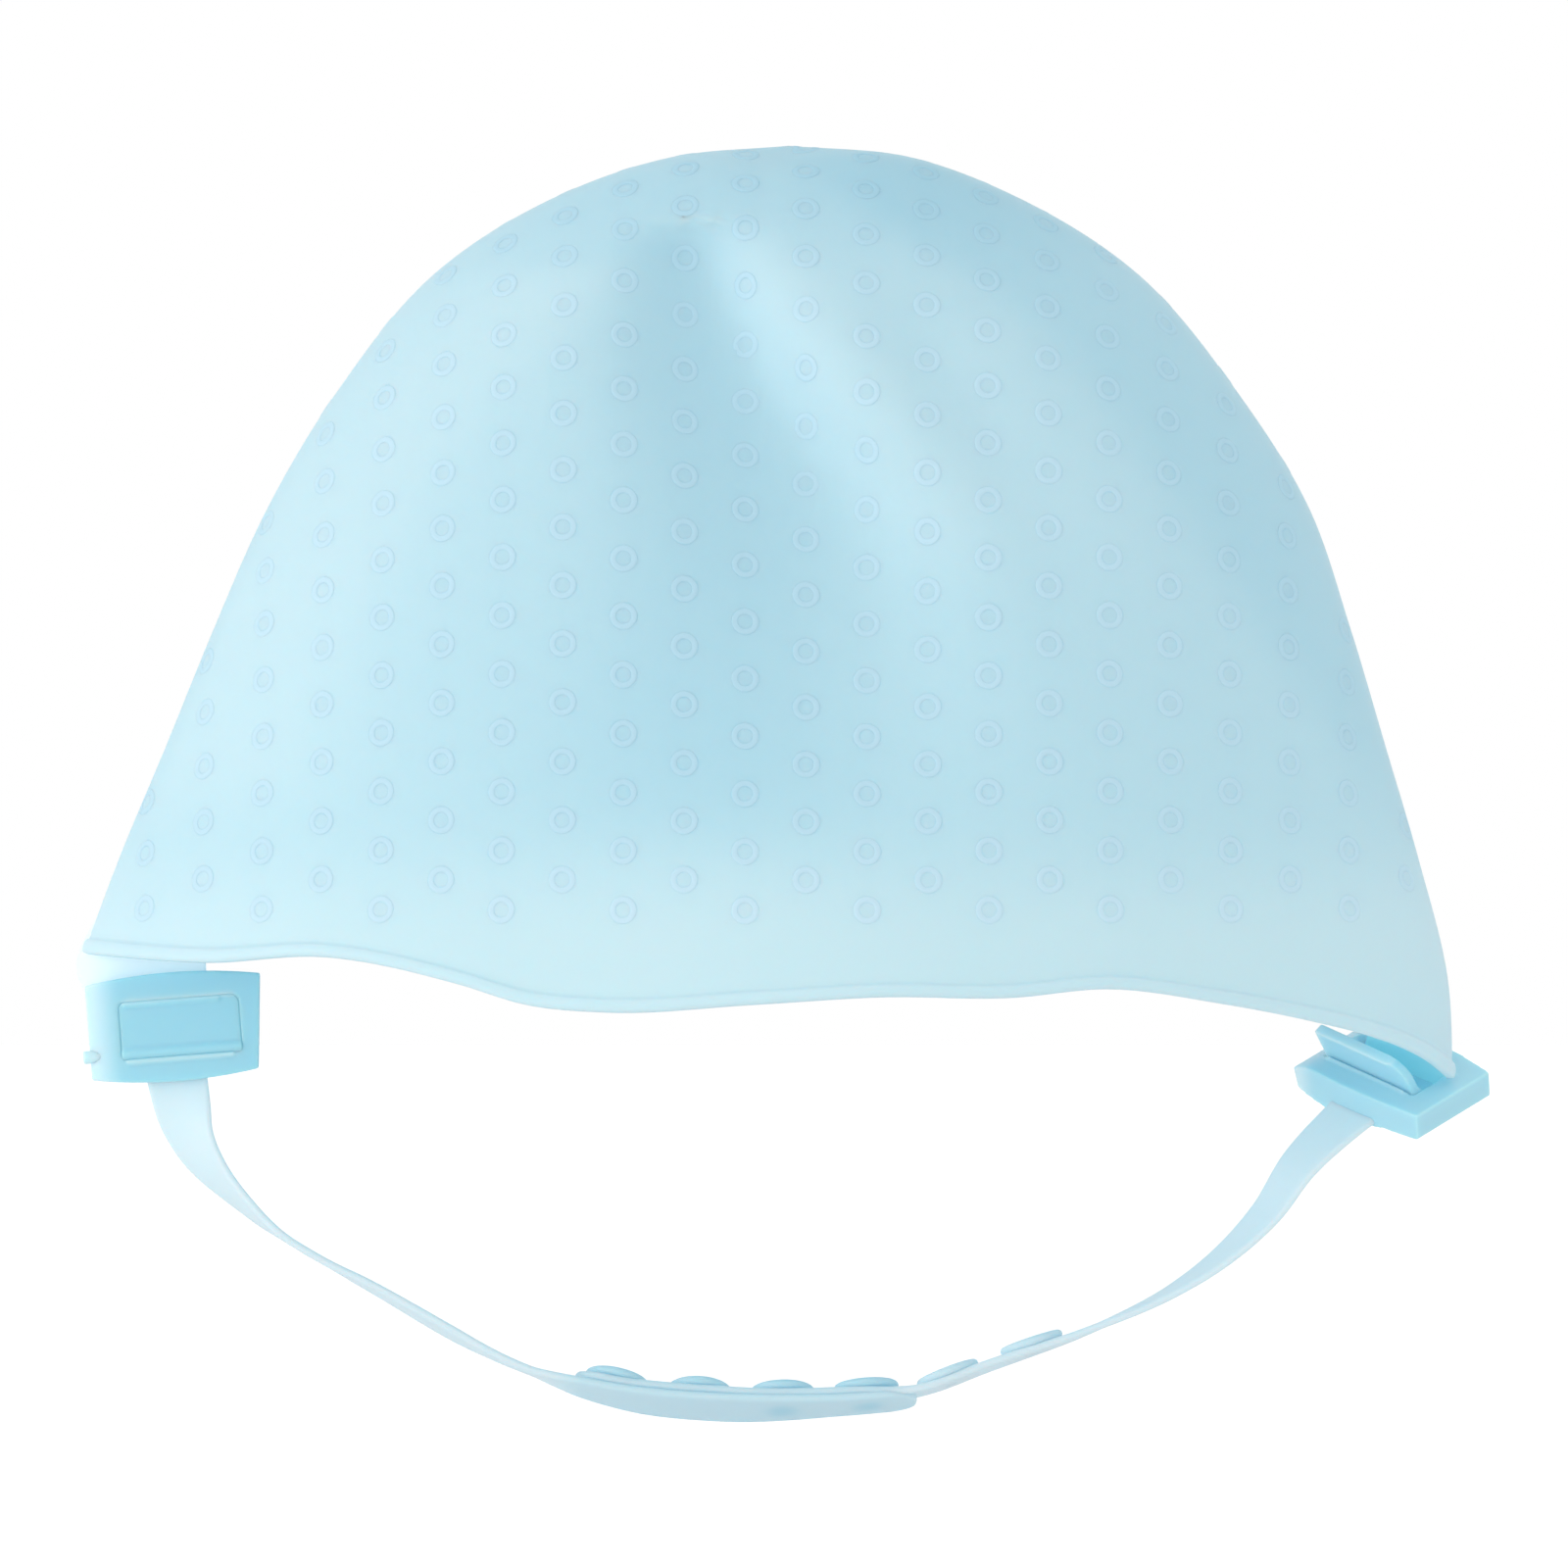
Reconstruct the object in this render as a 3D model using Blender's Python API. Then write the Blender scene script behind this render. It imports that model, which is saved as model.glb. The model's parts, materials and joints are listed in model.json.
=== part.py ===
"""Silicone highlighting cap with a chin strap, two cam clips and a snap-stud closure.

Frame: +X to the wearer's left as seen from the front, +Y to the back, +Z up.
The origin is under the middle of the cap, level with the lowest point of the strap.
All driving dimensions are in millimetres and are turned into metres by MM.
"""

import math

import bmesh
import bpy
import numpy as np
from mathutils import Matrix, Vector

MM = 0.001
GAP = 0.3                      # air between neighbouring pieces

# ---------------------------------------------------------------- cap
WALL = 1.1                     # silicone wall of the dome
CROWN = (0.9, 0.0, 234.6)      # highest point of the dome
# Outlines run from the rim up to the crown: (sideways, height).
LEFT_OUTLINE = ((-128.4, 88.0), (-122.4, 103.0), (-113.4, 124.6), (-104.6, 146.2), (-95.0, 167.8),
                (-82.1, 189.4), (-64.3, 211.0), (-41.9, 225.2), (-21.1, 232.2), (0.9, 234.6))
RIGHT_OUTLINE = ((122.6, 67.8), (121.8, 81.4), (116.6, 103.0), (110.3, 124.6), (103.9, 146.2),
                 (96.5, 167.8), (83.2, 189.4), (65.0, 211.0), (42.7, 225.2), (23.6, 232.2),
                 (0.9, 234.6))
FRONT_OUTLINE = ((56.0, 78.0), (54.0, 100.0), (50.0, 130.0), (45.0, 160.0), (37.0, 188.0),
                 (26.0, 211.0), (13.0, 228.0), (0.0, 234.6))
# The rim waves up and down along its width: (x, height of the edge).
FRONT_RIM = ((-128.4, 88.0), (-106.0, 85.2), (-84.0, 86.2), (-59.0, 81.4), (-47.0, 77.8),
             (-32.0, 76.4), (-6.0, 77.8), (18.0, 79.2), (59.0, 80.5), (79.0, 77.8), (107.0, 71.5),
             (122.6, 67.8))
BACK_RIM = ((-128.4, 88.0), (-106.0, 89.0), (-60.0, 90.0), (0.0, 88.0), (60.0, 90.0),
            (95.0, 90.0), (112.0, 82.0), (122.6, 67.8))
RIGHT_END_FORWARD = 4.4        # the right corner of the rim lies this far in front of the middle
PINCH = 0.5                    # how far the two ends of the rim are pinched flat
BEAD_HEIGHT = 2.6              # thicker bead around the rim
BEAD_PROUD = 0.5
AROUND = 64                    # mesh columns around the dome
UP = 18                        # mesh rows above the bead

# Dents in the slack front wall: top point, bottom point, widths there, depth.
DENTS = (((-19.0, 222.0), (4.0, 96.0), (9.0, 42.0), 13.0),
         ((16.0, 214.0), (46.0, 120.0), (8.0, 26.0), 5.0),
         ((58.0, 212.0), (92.0, 118.0), (9.0, 18.0), 4.5))

# ---------------------------------------------------------------- cam clips
CLIP_WIDTH = 31.5
CLIP_HEIGHT = 20.0
CLIP_FRONT = -3.0              # front face of the clip, along its own depth axis
CLIP_BACK = 2.8
CLIP_BARREL = 0.8              # the front face falls away by this much at its ends
CLIP_CORNER = 1.6
WINDOW = (-11.6, 11.6, -6.2, 4.8)
TUNNEL_HALF = 12.2
TUNNEL_FRONT, TUNNEL_BACK = -0.1, 1.95
HINGE_DEPTH, HINGE_HEIGHT = -1.8, -4.4
PIN_RADIUS = 0.6
PIN_HEAD_RADIUS = 1.3
PIN_HEAD_LENGTH = 1.6
LEVER_THICK = 1.6
LEVER_TOP = 4.3
LEVER_CORNER = 3.2             # round corner at the lever's outer end
BARREL_RADIUS = 1.4
OPEN_ANGLE = 112.0             # how far the right lever stands open

LEFT_CLIP_AT = (-112.1, 0.0, 72.8)
LEFT_CLIP_ROLL = 4.5           # the inner end sits slightly higher
RIGHT_CLIP_AT = (112.5, 5.5, 63.7)
RIGHT_CLIP_UP = (0.711, 0.575, 0.404)       # towards the cap
RIGHT_CLIP_FRONT = (-0.076, -0.507, 0.855)  # out of the lever's side

# ---------------------------------------------------------------- the line the strap swings about
LEFT_EAR = (-115.0, 0.95, 81.0)
RIGHT_EAR = (122.0, -4.4, 66.0)
EAR_THICK = 1.2
SWING_ROOM = 38.0              # half-angle of the throat that the left ear tips in

# ---------------------------------------------------------------- strap
STRAP_WIDTH = 11.2
STRAP_THICK = 1.4
CLOSURE_TILT = 67.0            # twist of the strap where its two halves overlap
SPLIT_AT = -41.5               # the free tail of the strap peels off from here
LEFT_PATH = ((-112.8, 0.95, 74.5), (-111.4, 0.95, 62.8), (-108.6, 0.5, 52.0), (-97.4, 0.0, 38.6),
             (-73.6, 0.0, 23.8), (-46.0, 0.0, 9.4), (-28.8, 0.0, 4.6), (-10.8, 0.0, 2.84),
             (9.0, 0.0, 3.2), (24.4, 0.0, 4.4))
# Twist of each strap half against distance from its clip, as a share of its length.
LEFT_TWIST = ((0.0, 0.0), (0.08, 0.0), (0.13, 42.0), (0.165, 56.0), (0.2, 69.0), (0.24, 79.0),
              (0.29, 87.0), (0.33, 87.0), (0.38, 83.0), (0.48, 80.0), (0.53, 79.0),
              (0.59, CLOSURE_TILT + 1), (0.65, CLOSURE_TILT), (1.0, CLOSURE_TILT))
RIGHT_PATH = ((38.0, 0.9, 10.6), (56.5, 0.6, 17.2), (71.6, 0.0, 24.4), (87.0, -1.5, 38.0),
              (95.0, -3.0, 48.0))
CLIP_SHARE = 0.1               # this share of each half lies straight out of its clip
RIGHT_TWIST = ((0.0, 134.0), (0.1, 134.0), (0.16, 120.0), (0.23, 108.0), (0.29, 101.0),
               (0.35, 95.0), (0.39, 91.0), (0.44, 87.0), (0.49, 81.0), (0.53, 74.0),
               (0.56, CLOSURE_TILT + 1), (0.58, CLOSURE_TILT), (1.0, CLOSURE_TILT))
STUD_STRAP_END = -38.7
STUD_FIRST = -31.0
STUD_PITCH = 15.4
STUD_COUNT = 6
STUD_DISC = 5.5
STUD_DISC_THICK = 1.3
STUD_NECK = 1.4
STUD_HEAD = 1.9
SOCKET_DEPTH = 1.05
SOCKET_ROOM = 0.6              # the tail tips off the studs, so its sockets are wider
LINE_STATIONS = 200            # stations along the middle line of the outer strap half
STUD_LINE_STATIONS = 220       # and along the stud half
EDGE_EASE = 0.35               # bevel of the straps' long edges
COARSE_STEP = 4                # every so many stations become a section of the strap's body
TAIL_STEP = 3
ROUND_STATIONS = 8             # the round free end keeps every station
HOLE_SIDES = 16
SOCKET_SIDES = 20
STUD_SIDES = 24

# ---------------------------------------------------------------- finishes
SILICONE = (0.50, 0.74, 0.84)
STRAP_SILICONE = (0.66, 0.84, 0.91)
CLIP_PLASTIC = (0.28, 0.70, 0.86)


# ================================================================ shared helpers
def clear_scene():
    for obj in list(bpy.data.objects):
        bpy.data.objects.remove(obj, do_unlink=True)


def finish(name, colour, roughness):
    """A Principled material with one colour."""
    mat = bpy.data.materials.new(name)
    mat.use_nodes = True
    shader = mat.node_tree.nodes["Principled BSDF"]
    shader.inputs["Base Color"].default_value = (*colour, 1.0)
    shader.inputs["Roughness"].default_value = roughness
    shader.inputs["Metallic"].default_value = 0.0
    return mat


def hermite(xs, ys, slopes, at):
    """Cubic pieces through (xs, ys) with the given slopes."""
    at = np.clip(at, xs.min(), xs.max())
    k = np.clip(np.searchsorted(xs, at) - 1, 0, len(xs) - 2)
    h = xs[k + 1] - xs[k]
    t = (at - xs[k]) / h
    return ((2 * t**3 - 3 * t**2 + 1) * ys[k] + (t**3 - 2 * t**2 + t) * h * slopes[k]
            + (3 * t**2 - 2 * t**3) * ys[k + 1] + (t**3 - t**2) * h * slopes[k + 1])


def smooth_line(points, at):
    """A smooth curve through a few points, read at the given values of their first number."""
    pts = np.asarray(points, float)
    xs, ys = pts[:, 0], pts[:, 1]
    return hermite(xs, ys, np.gradient(ys, xs), at)


def eased_line(points, at):
    """Like smooth_line, but it never swings past the values it is given."""
    pts = np.asarray(points, float)
    xs, ys = pts[:, 0], pts[:, 1]
    rise = np.diff(ys) / np.diff(xs)
    before, after = rise[:-1], rise[1:]
    both = np.where(before * after > 0, 2 * before * after / (before + after + 1e-12), 0.0)
    slopes = np.concatenate([[0.0], both, [0.0]])
    return hermite(xs, ys, slopes, at)


def smooth_path(points, count):
    """Evenly spread stations along a smooth path through points of any dimension."""
    pts = np.asarray(points, float)
    chord = np.concatenate([[0], np.cumsum(np.linalg.norm(np.diff(pts, axis=0), axis=1))])
    stations = np.linspace(0, chord[-1], count)
    return np.column_stack([smooth_line(np.column_stack([chord, pts[:, i]]), stations)
                            for i in range(pts.shape[1])])


def object_from(bm, name, material, smooth_degrees=40.0):
    """Turn a bmesh in millimetres into an object in metres."""
    bmesh.ops.recalc_face_normals(bm, faces=bm.faces)
    bmesh.ops.scale(bm, vec=(MM, MM, MM), verts=bm.verts)
    mesh = bpy.data.meshes.new(name)
    bm.to_mesh(mesh)
    bm.free()
    mesh.shade_smooth()
    mesh.set_sharp_from_angle(angle=math.radians(smooth_degrees))
    mesh.materials.append(material)
    obj = bpy.data.objects.new(name, mesh)
    bpy.context.scene.collection.objects.link(obj)
    return obj


def hide_cutter(obj):
    obj.hide_render = True
    obj.display_type = "WIRE"
    return obj


def combine(target, other, operation):
    """Cut or join one object with another by an exact Boolean."""
    mod = target.modifiers.new(other.name, "BOOLEAN")
    mod.operation = operation
    mod.solver = "EXACT"
    mod.object = hide_cutter(other)


def box_mesh(low, high):
    bm = bmesh.new()
    bmesh.ops.create_cube(bm, size=1.0)
    size = Vector(high) - Vector(low)
    middle = (Vector(high) + Vector(low)) / 2
    bmesh.ops.scale(bm, vec=size, verts=bm.verts)
    bmesh.ops.translate(bm, vec=middle, verts=bm.verts)
    return bm


def cylinder_mesh(radius, start, end, sides=20):
    """A closed cylinder between two points."""
    start, end = Vector(start), Vector(end)
    bm = bmesh.new()
    bmesh.ops.create_cone(bm, cap_ends=True, segments=sides, radius1=radius, radius2=radius,
                          depth=(end - start).length)
    turn = (end - start).to_track_quat("Z", "Y").to_matrix()
    bmesh.ops.rotate(bm, matrix=turn, verts=bm.verts)
    bmesh.ops.translate(bm, vec=(start + end) / 2, verts=bm.verts)
    return bm


def prism_mesh(outline, low, high, place):
    """Extrude a closed outline between two offsets; place turns (u, v, offset) into a point."""
    bm = bmesh.new()
    bottom = [bm.verts.new(place(u, v, low)) for u, v in outline]
    top = [bm.verts.new(place(u, v, high)) for u, v in outline]
    bm.faces.new(bottom)
    bm.faces.new(top[::-1])
    for i in range(len(outline)):
        j = (i + 1) % len(outline)
        bm.faces.new((bottom[i], bottom[j], top[j], top[i]))
    return bm


# ================================================================ the cap
def dent(x, z):
    """How far the slack front wall is pushed in at a place."""
    depth = np.zeros_like(x)
    for (x_top, z_top), (x_low, z_low), (w_top, w_low), deepest in DENTS:
        down = np.clip((z_top - z) / (z_top - z_low), 0.0, 1.0)
        centre = x_top + (x_low - x_top) * down
        width = w_top + (w_low - w_top) * down
        along = np.sin(np.pi * down**0.7)**1.2
        depth += deepest * along * np.exp(-((x - centre) / width)**2)
    return depth


def cap_skin(angle, rise):
    """The dome's outer skin; angle goes round from +X, rise goes from rim (0) to crown (1)."""
    def outline(points):
        pts = np.asarray(points, float)
        chord = np.concatenate([[0], np.cumsum(np.linalg.norm(np.diff(pts, axis=0), axis=1))])
        chord /= chord[-1]
        return [smooth_line(np.column_stack([chord, pts[:, i]]), rise) for i in (0, 1)]

    c, s = np.cos(angle), np.sin(angle)
    side_x, side_z = [np.where(c >= 0, r, l) for r, l in zip(outline(RIGHT_OUTLINE),
                                                              outline(LEFT_OUTLINE))]
    depth, mid_z = outline(FRONT_OUTLINE)
    sharp = 1.0 + PINCH * (1.0 - rise)**1.5
    x = CROWN[0] + (side_x - CROWN[0]) * np.abs(c)
    y = depth * np.sign(s) * np.abs(s)**sharp
    y -= RIGHT_END_FORWARD * np.clip(c, 0, 1)**2 * (1.0 - rise)**2
    z = side_z * c**2 + mid_z * s**2
    end_x = np.where(c >= 0, RIGHT_OUTLINE[0][0], LEFT_OUTLINE[0][0])
    rim_x = CROWN[0] + (end_x - CROWN[0]) * np.abs(c)
    rim_z = np.where(s <= 0, smooth_line(FRONT_RIM, rim_x), smooth_line(BACK_RIM, rim_x))
    flat_z = (np.where(c >= 0, RIGHT_OUTLINE[0][1], LEFT_OUTLINE[0][1]) * c**2
              + FRONT_OUTLINE[0][1] * s**2)
    z = z + (rim_z - flat_z) * (1.0 - rise)**3
    y = y + np.where(s < 0, 1.0, 0.0) * np.abs(s)**0.8 * dent(x, z)
    return np.stack([x, y, z], axis=-1)


def cap_normal(angle, rise):
    """Unit normals of the skin, pointing out."""
    step = 1e-3
    upper = np.minimum(rise + step, 0.999)
    lower = np.maximum(rise - step, 0.0)
    around = cap_skin(angle + step, rise) - cap_skin(angle - step, rise)
    up = cap_skin(angle, upper) - cap_skin(angle, lower)
    normal = np.cross(around, up)
    return normal / np.linalg.norm(normal, axis=-1, keepdims=True)


def cap_rows():
    """Heights of the mesh rows, with a close pair at the rim for the bead."""
    reach = 190.0
    bead = BEAD_HEIGHT / reach
    return np.concatenate([[0.0, bead, 1.4 * bead], np.linspace(0.05, 0.985, UP)])


def build_cap(material):
    rows = cap_rows()
    angle = np.arange(AROUND) * 2 * np.pi / AROUND
    grid_angle, grid_rise = np.meshgrid(angle, rows)
    skin = cap_skin(grid_angle, grid_rise)
    normal = cap_normal(grid_angle, grid_rise)
    proud = np.zeros(len(rows))
    proud[:2] = BEAD_PROUD
    outer = skin + normal * proud[:, None, None]
    inner = skin - normal * WALL
    inner[0, :, 2] = outer[0, :, 2]
    bm = bmesh.new()
    layers = []
    for layer, top in ((outer, CROWN[2]), (inner, CROWN[2] - WALL)):
        verts = [[bm.verts.new(point) for point in row] for row in layer]
        crown = bm.verts.new((CROWN[0], CROWN[1], top))
        for j in range(len(rows) - 1):
            for i in range(AROUND):
                k = (i + 1) % AROUND
                bm.faces.new((verts[j][i], verts[j][k], verts[j + 1][k], verts[j + 1][i]))
        for i in range(AROUND):
            bm.faces.new((verts[-1][i], verts[-1][(i + 1) % AROUND], crown))
        layers.append(verts)
    for i in range(AROUND):
        k = (i + 1) % AROUND
        bm.faces.new((layers[0][0][i], layers[1][0][i], layers[1][0][k], layers[0][0][k]))
    cap = object_from(bm, "cap_shell", material)
    combine(cap, build_left_ear(material), "UNION")
    return cap


def swing_axis():
    return (Vector(RIGHT_EAR) - Vector(LEFT_EAR)).normalized()


def build_left_ear(material):
    """The flat ear under the cap's left end, tipping in the clip's throat."""
    slope = swing_axis().z / swing_axis().x
    half = EAR_THICK / 2
    flat_y = LEFT_EAR[1]
    # Sections from the tip up to inside the wall: left edge, right edge, height, thickness,
    # and how far the right edge has turned back to meet the cap's back wall.
    sections = ((-123.6, -106.8, LEFT_EAR[2] - 0.5, 0.5, 0.0), (-124.6, -106.6, 82.0, 1.0, 0.0),
                (-127.6, -106.5, 84.2, EAR_THICK, 0.0), (-128.2, -106.5, 87.4, EAR_THICK, 0.0),
                (-126.6, -107.5, 91.5, EAR_THICK, 11.0))
    bm = bmesh.new()
    rings = []
    for k, (left, right, height, thick, back) in enumerate(sections):
        tip = slope if k < 2 else 0.0
        ring = []
        for x, y_mid in ((left, flat_y), (right, flat_y + back)):
            z = height + tip * (x - LEFT_EAR[0])
            ring.append((x, y_mid - thick / 2, z))
            ring.append((x, y_mid + thick / 2, z))
        rings.append([bm.verts.new(p) for p in (ring[0], ring[2], ring[3], ring[1])])
    for a, b in zip(rings, rings[1:]):
        for i in range(4):
            bm.faces.new((a[i], a[(i + 1) % 4], b[(i + 1) % 4], b[i]))
    bm.faces.new(rings[0])
    bm.faces.new(rings[-1][::-1])
    return object_from(bm, "ear_shape", material)


# ================================================================ cam clips
def clip_outline():
    """The clip seen from above: flat back, slightly barrelled front, rounded corners."""
    half = CLIP_WIDTH / 2
    corner = []
    for step in range(5):
        turn = math.radians(90 * step / 4)
        across = half - CLIP_CORNER * (1 - math.sin(turn))
        deep = CLIP_FRONT + CLIP_BARREL + CLIP_CORNER * (1 - math.cos(turn))
        corner.append((across, deep))
    front = []
    for step in range(1, 6):
        x = (half - CLIP_CORNER) * (step / 3 - 1)
        front.append((x, CLIP_FRONT + CLIP_BARREL * (x / half)**2))
    left = [(-x, y) for x, y in corner[::-1]]
    return [(-half, CLIP_BACK)] + left + front + corner + [(half, CLIP_BACK)]


def clip_frame(name, place, material):
    """Frame of a cam clip: a window for the lever and a tunnel for the strap behind it."""
    bm = prism_mesh(clip_outline(), -CLIP_HEIGHT / 2, CLIP_HEIGHT / 2, lambda u, v, w: (u, v, w))
    edge = [e for e in bm.edges if abs(e.verts[0].co.z - e.verts[1].co.z) < 1e-6]
    bmesh.ops.bevel(bm, geom=edge, offset=0.5, segments=2, affect="EDGES", profile=0.5)
    frame = object_from(bm, name, material)
    frame.matrix_world = place
    left, right, low, high = WINDOW
    half = CLIP_HEIGHT / 2
    cutters = {
        "window": box_mesh((left, CLIP_FRONT - 2, low), (right, TUNNEL_FRONT + 0.5, high)),
        "tunnel": box_mesh((-TUNNEL_HALF, TUNNEL_FRONT, -half - 2),
                           (TUNNEL_HALF, TUNNEL_BACK, half + 2)),
        "bore": cylinder_mesh(PIN_RADIUS + GAP, (-CLIP_WIDTH, HINGE_DEPTH, HINGE_HEIGHT),
                              (WINDOW[1] + 2.2, HINGE_DEPTH, HINGE_HEIGHT)),
    }
    for part, mesh in cutters.items():
        cutter = object_from(mesh, f"{name}_{part}_cut", material)
        cutter.matrix_world = place
        combine(frame, cutter, "DIFFERENCE")
    return frame


def cut_throat(frame, material):
    """Open the top of the left clip so that it can tip about the ear."""
    along = swing_axis()
    forward = Vector((0, -1, 0))
    forward = (forward - along * forward.dot(along)).normalized()
    up = along.cross(-forward).normalized()
    if up.z < 0:
        up = -up
    spread = 5.0 * math.tan(math.radians(SWING_ROOM))
    throat = EAR_THICK / 2 + GAP
    outline = ((-throat, -1.0), (throat, -1.0), (throat + 0.3, 0.0), (throat + spread, 5.0),
               (-throat - spread, 5.0), (-throat - 0.3, 0.0))
    centre = Vector(LEFT_EAR)

    def place(u, v, w):
        return centre + forward * u + up * v + along * w

    cutter = object_from(prism_mesh(outline, -TUNNEL_HALF + 2.9, TUNNEL_HALF + 2.9 - 0.2, place),
                         f"{frame.name}_throat_cut", material)
    combine(frame, cutter, "DIFFERENCE")


def clip_lever(name, place, opened, material):
    """The cam lever that clamps the strap; opened is its angle at rest."""
    half = WINDOW[1] - 0.5
    top = LEVER_TOP - HINGE_HEIGHT
    outline = [(-half, 0.0), (half, 0.0)]
    for step in range(5):
        turn = math.radians(90 * step / 4)
        outline.append((half - LEVER_CORNER * (1 - math.cos(turn)),
                        top - LEVER_CORNER * (1 - math.sin(turn))))
    outline += [(0.8 - half, top), (-half, top - 0.8)]
    bm = prism_mesh(outline, -LEVER_THICK / 2, LEVER_THICK / 2, lambda u, v, w: (u, w, v))
    lever = object_from(bm, name, material)
    barrel = object_from(cylinder_mesh(BARREL_RADIUS, (-half, 0, 0), (half, 0, 0), 24),
                         f"{name}_barrel_shape", material)
    bore = object_from(cylinder_mesh(PIN_RADIUS + GAP, (-half - 1, 0, 0), (half + 1, 0, 0)),
                       f"{name}_bore_cut", material)
    turn = Matrix.Rotation(math.radians(opened), 4, "X")
    at = place @ Matrix.Translation(Vector((0, HINGE_DEPTH, HINGE_HEIGHT)) * MM) @ turn
    for piece in (lever, barrel, bore):
        piece.matrix_world = at
    combine(lever, barrel, "UNION")
    combine(lever, bore, "DIFFERENCE")
    return lever


def clip_pin(name, place, material):
    """Hinge pin with a small head outside the clip's outer end."""
    end = -CLIP_WIDTH / 2
    profile = ((0.0, end - GAP - PIN_HEAD_LENGTH), (PIN_HEAD_RADIUS, end - GAP - PIN_HEAD_LENGTH),
               (PIN_HEAD_RADIUS, end - GAP), (PIN_RADIUS, end - GAP), (PIN_RADIUS, WINDOW[1] + 1.6),
               (0.0, WINDOW[1] + 1.6))
    bm = bmesh.new()
    verts = [bm.verts.new((along, HINGE_DEPTH + radius, HINGE_HEIGHT)) for radius, along in profile]
    edges = [bm.edges.new(pair) for pair in zip(verts, verts[1:])]
    bmesh.ops.spin(bm, geom=verts + edges, cent=(0, HINGE_DEPTH, HINGE_HEIGHT), axis=(1, 0, 0),
                   angle=2 * math.pi, steps=16, use_merge=True)
    bmesh.ops.remove_doubles(bm, verts=bm.verts, dist=1e-4)
    pin = object_from(bm, name, material)
    pin.matrix_world = place
    return pin


def left_clip_place():
    turn = Matrix.Rotation(math.radians(-LEFT_CLIP_ROLL), 4, "Y")
    return Matrix.Translation(Vector(LEFT_CLIP_AT) * MM) @ turn


def right_clip_place():
    up = Vector(RIGHT_CLIP_UP).normalized()
    back = -Vector(RIGHT_CLIP_FRONT)
    back = (back - up * back.dot(up)).normalized()
    across = back.cross(up)
    turn = Matrix((across, back, up)).transposed().to_4x4()
    return Matrix.Translation(Vector(RIGHT_CLIP_AT) * MM) @ turn


# ================================================================ strap
def ribbon_frames(path, twist, inner_side, clip_across):
    """Tangent, width and thickness directions at each station of a twisting ribbon.

    At no twist the width lies in the X-Z plane; at 90 degrees it runs front to back.
    The width starts along the clip's own long side.
    """
    tangent = np.gradient(path, axis=0)
    tangent /= np.linalg.norm(tangent, axis=1, keepdims=True)
    across = inner_side * np.column_stack([-tangent[:, 2], np.zeros(len(path)), tangent[:, 0]])
    across /= np.linalg.norm(across, axis=1, keepdims=True)
    ahead = np.tile([0.0, -1.0, 0.0], (len(path), 1))
    angle = np.radians(twist)[:, None]
    width = np.cos(angle) * across + np.sin(angle) * ahead
    lead = np.clip((np.linspace(0, 1, len(path)) - CLIP_SHARE) / CLIP_SHARE, 0, 1)[:, None]
    lead = lead**2 * (3 - 2 * lead)
    width = width * lead + np.array(clip_across) * (1 - lead)
    width -= tangent * np.sum(width * tangent, axis=1, keepdims=True)
    width /= np.linalg.norm(width, axis=1, keepdims=True)
    return tangent, width, np.cross(width, tangent) * inner_side


def ribbon_mesh(path, width, normal, round_end=None):
    """A ribbon with softened long edges; round_end narrows its first or last stations."""
    half, thick, ease = STRAP_WIDTH / 2, STRAP_THICK / 2, EDGE_EASE
    section = ((-half, -thick + ease), (-half + ease, -thick), (half - ease, -thick),
               (half, -thick + ease), (half, thick - ease), (half - ease, thick),
               (-half + ease, thick), (-half, thick - ease))
    distance = np.concatenate([[0], np.cumsum(np.linalg.norm(np.diff(path, axis=0), axis=1))])
    if round_end == "last":
        distance = distance[-1] - distance
    bm = bmesh.new()
    rings = []
    for k, centre in enumerate(path):
        narrow = 1.0
        if round_end and distance[k] < half:
            narrow = max(0.18, math.sqrt(1 - (1 - distance[k] / half)**2))
        rings.append([bm.verts.new(centre + width[k] * u * narrow + normal[k] * v)
                      for u, v in section])
    count = len(section)
    for a, b in zip(rings, rings[1:]):
        for i in range(count):
            bm.faces.new((a[i], a[(i + 1) % count], b[(i + 1) % count], b[i]))
    bm.faces.new(rings[0])
    bm.faces.new(rings[-1][::-1])
    return bm


def left_strap_line(count=LINE_STATIONS):
    """Finely sampled middle line of the outer strap half with its directions."""
    path = smooth_path(LEFT_PATH, count)
    twist = eased_line(LEFT_TWIST, np.linspace(0, 1, count))
    tangent, width, normal = ribbon_frames(path, twist, 1, left_clip_place().to_3x3().col[0])
    return path, tangent, width, normal


def right_strap_line(count=STUD_LINE_STATIONS):
    """Middle line of the stud half: it lies on the tail, then climbs to the right clip."""
    outer, _, _, inward = left_strap_line()
    overlap = []
    for x in np.linspace(STUD_STRAP_END, LEFT_PATH[-1][0], 8):
        k = nearest(outer, x)
        overlap.append(outer[k] + inward[k] * (STRAP_THICK + GAP))
    place = right_clip_place()
    mid = (TUNNEL_FRONT + TUNNEL_BACK) / 2
    into = [np.array(place @ (Vector((0.0, mid, h)) * MM)) / MM
            for h in (-CLIP_HEIGHT / 2 - 5.0, -CLIP_HEIGHT / 2 - 1.0, 1.5)]
    path = smooth_path(np.vstack([overlap, RIGHT_PATH, into])[::-1], count)
    twist = eased_line(RIGHT_TWIST, np.linspace(0, 1, count))
    tangent, width, normal = ribbon_frames(path, twist, -1, place.to_3x3().col[0])
    return path, tangent, width, normal


def nearest(path, x):
    return int(np.argmin(np.abs(path[:, 0] - x)))


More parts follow.
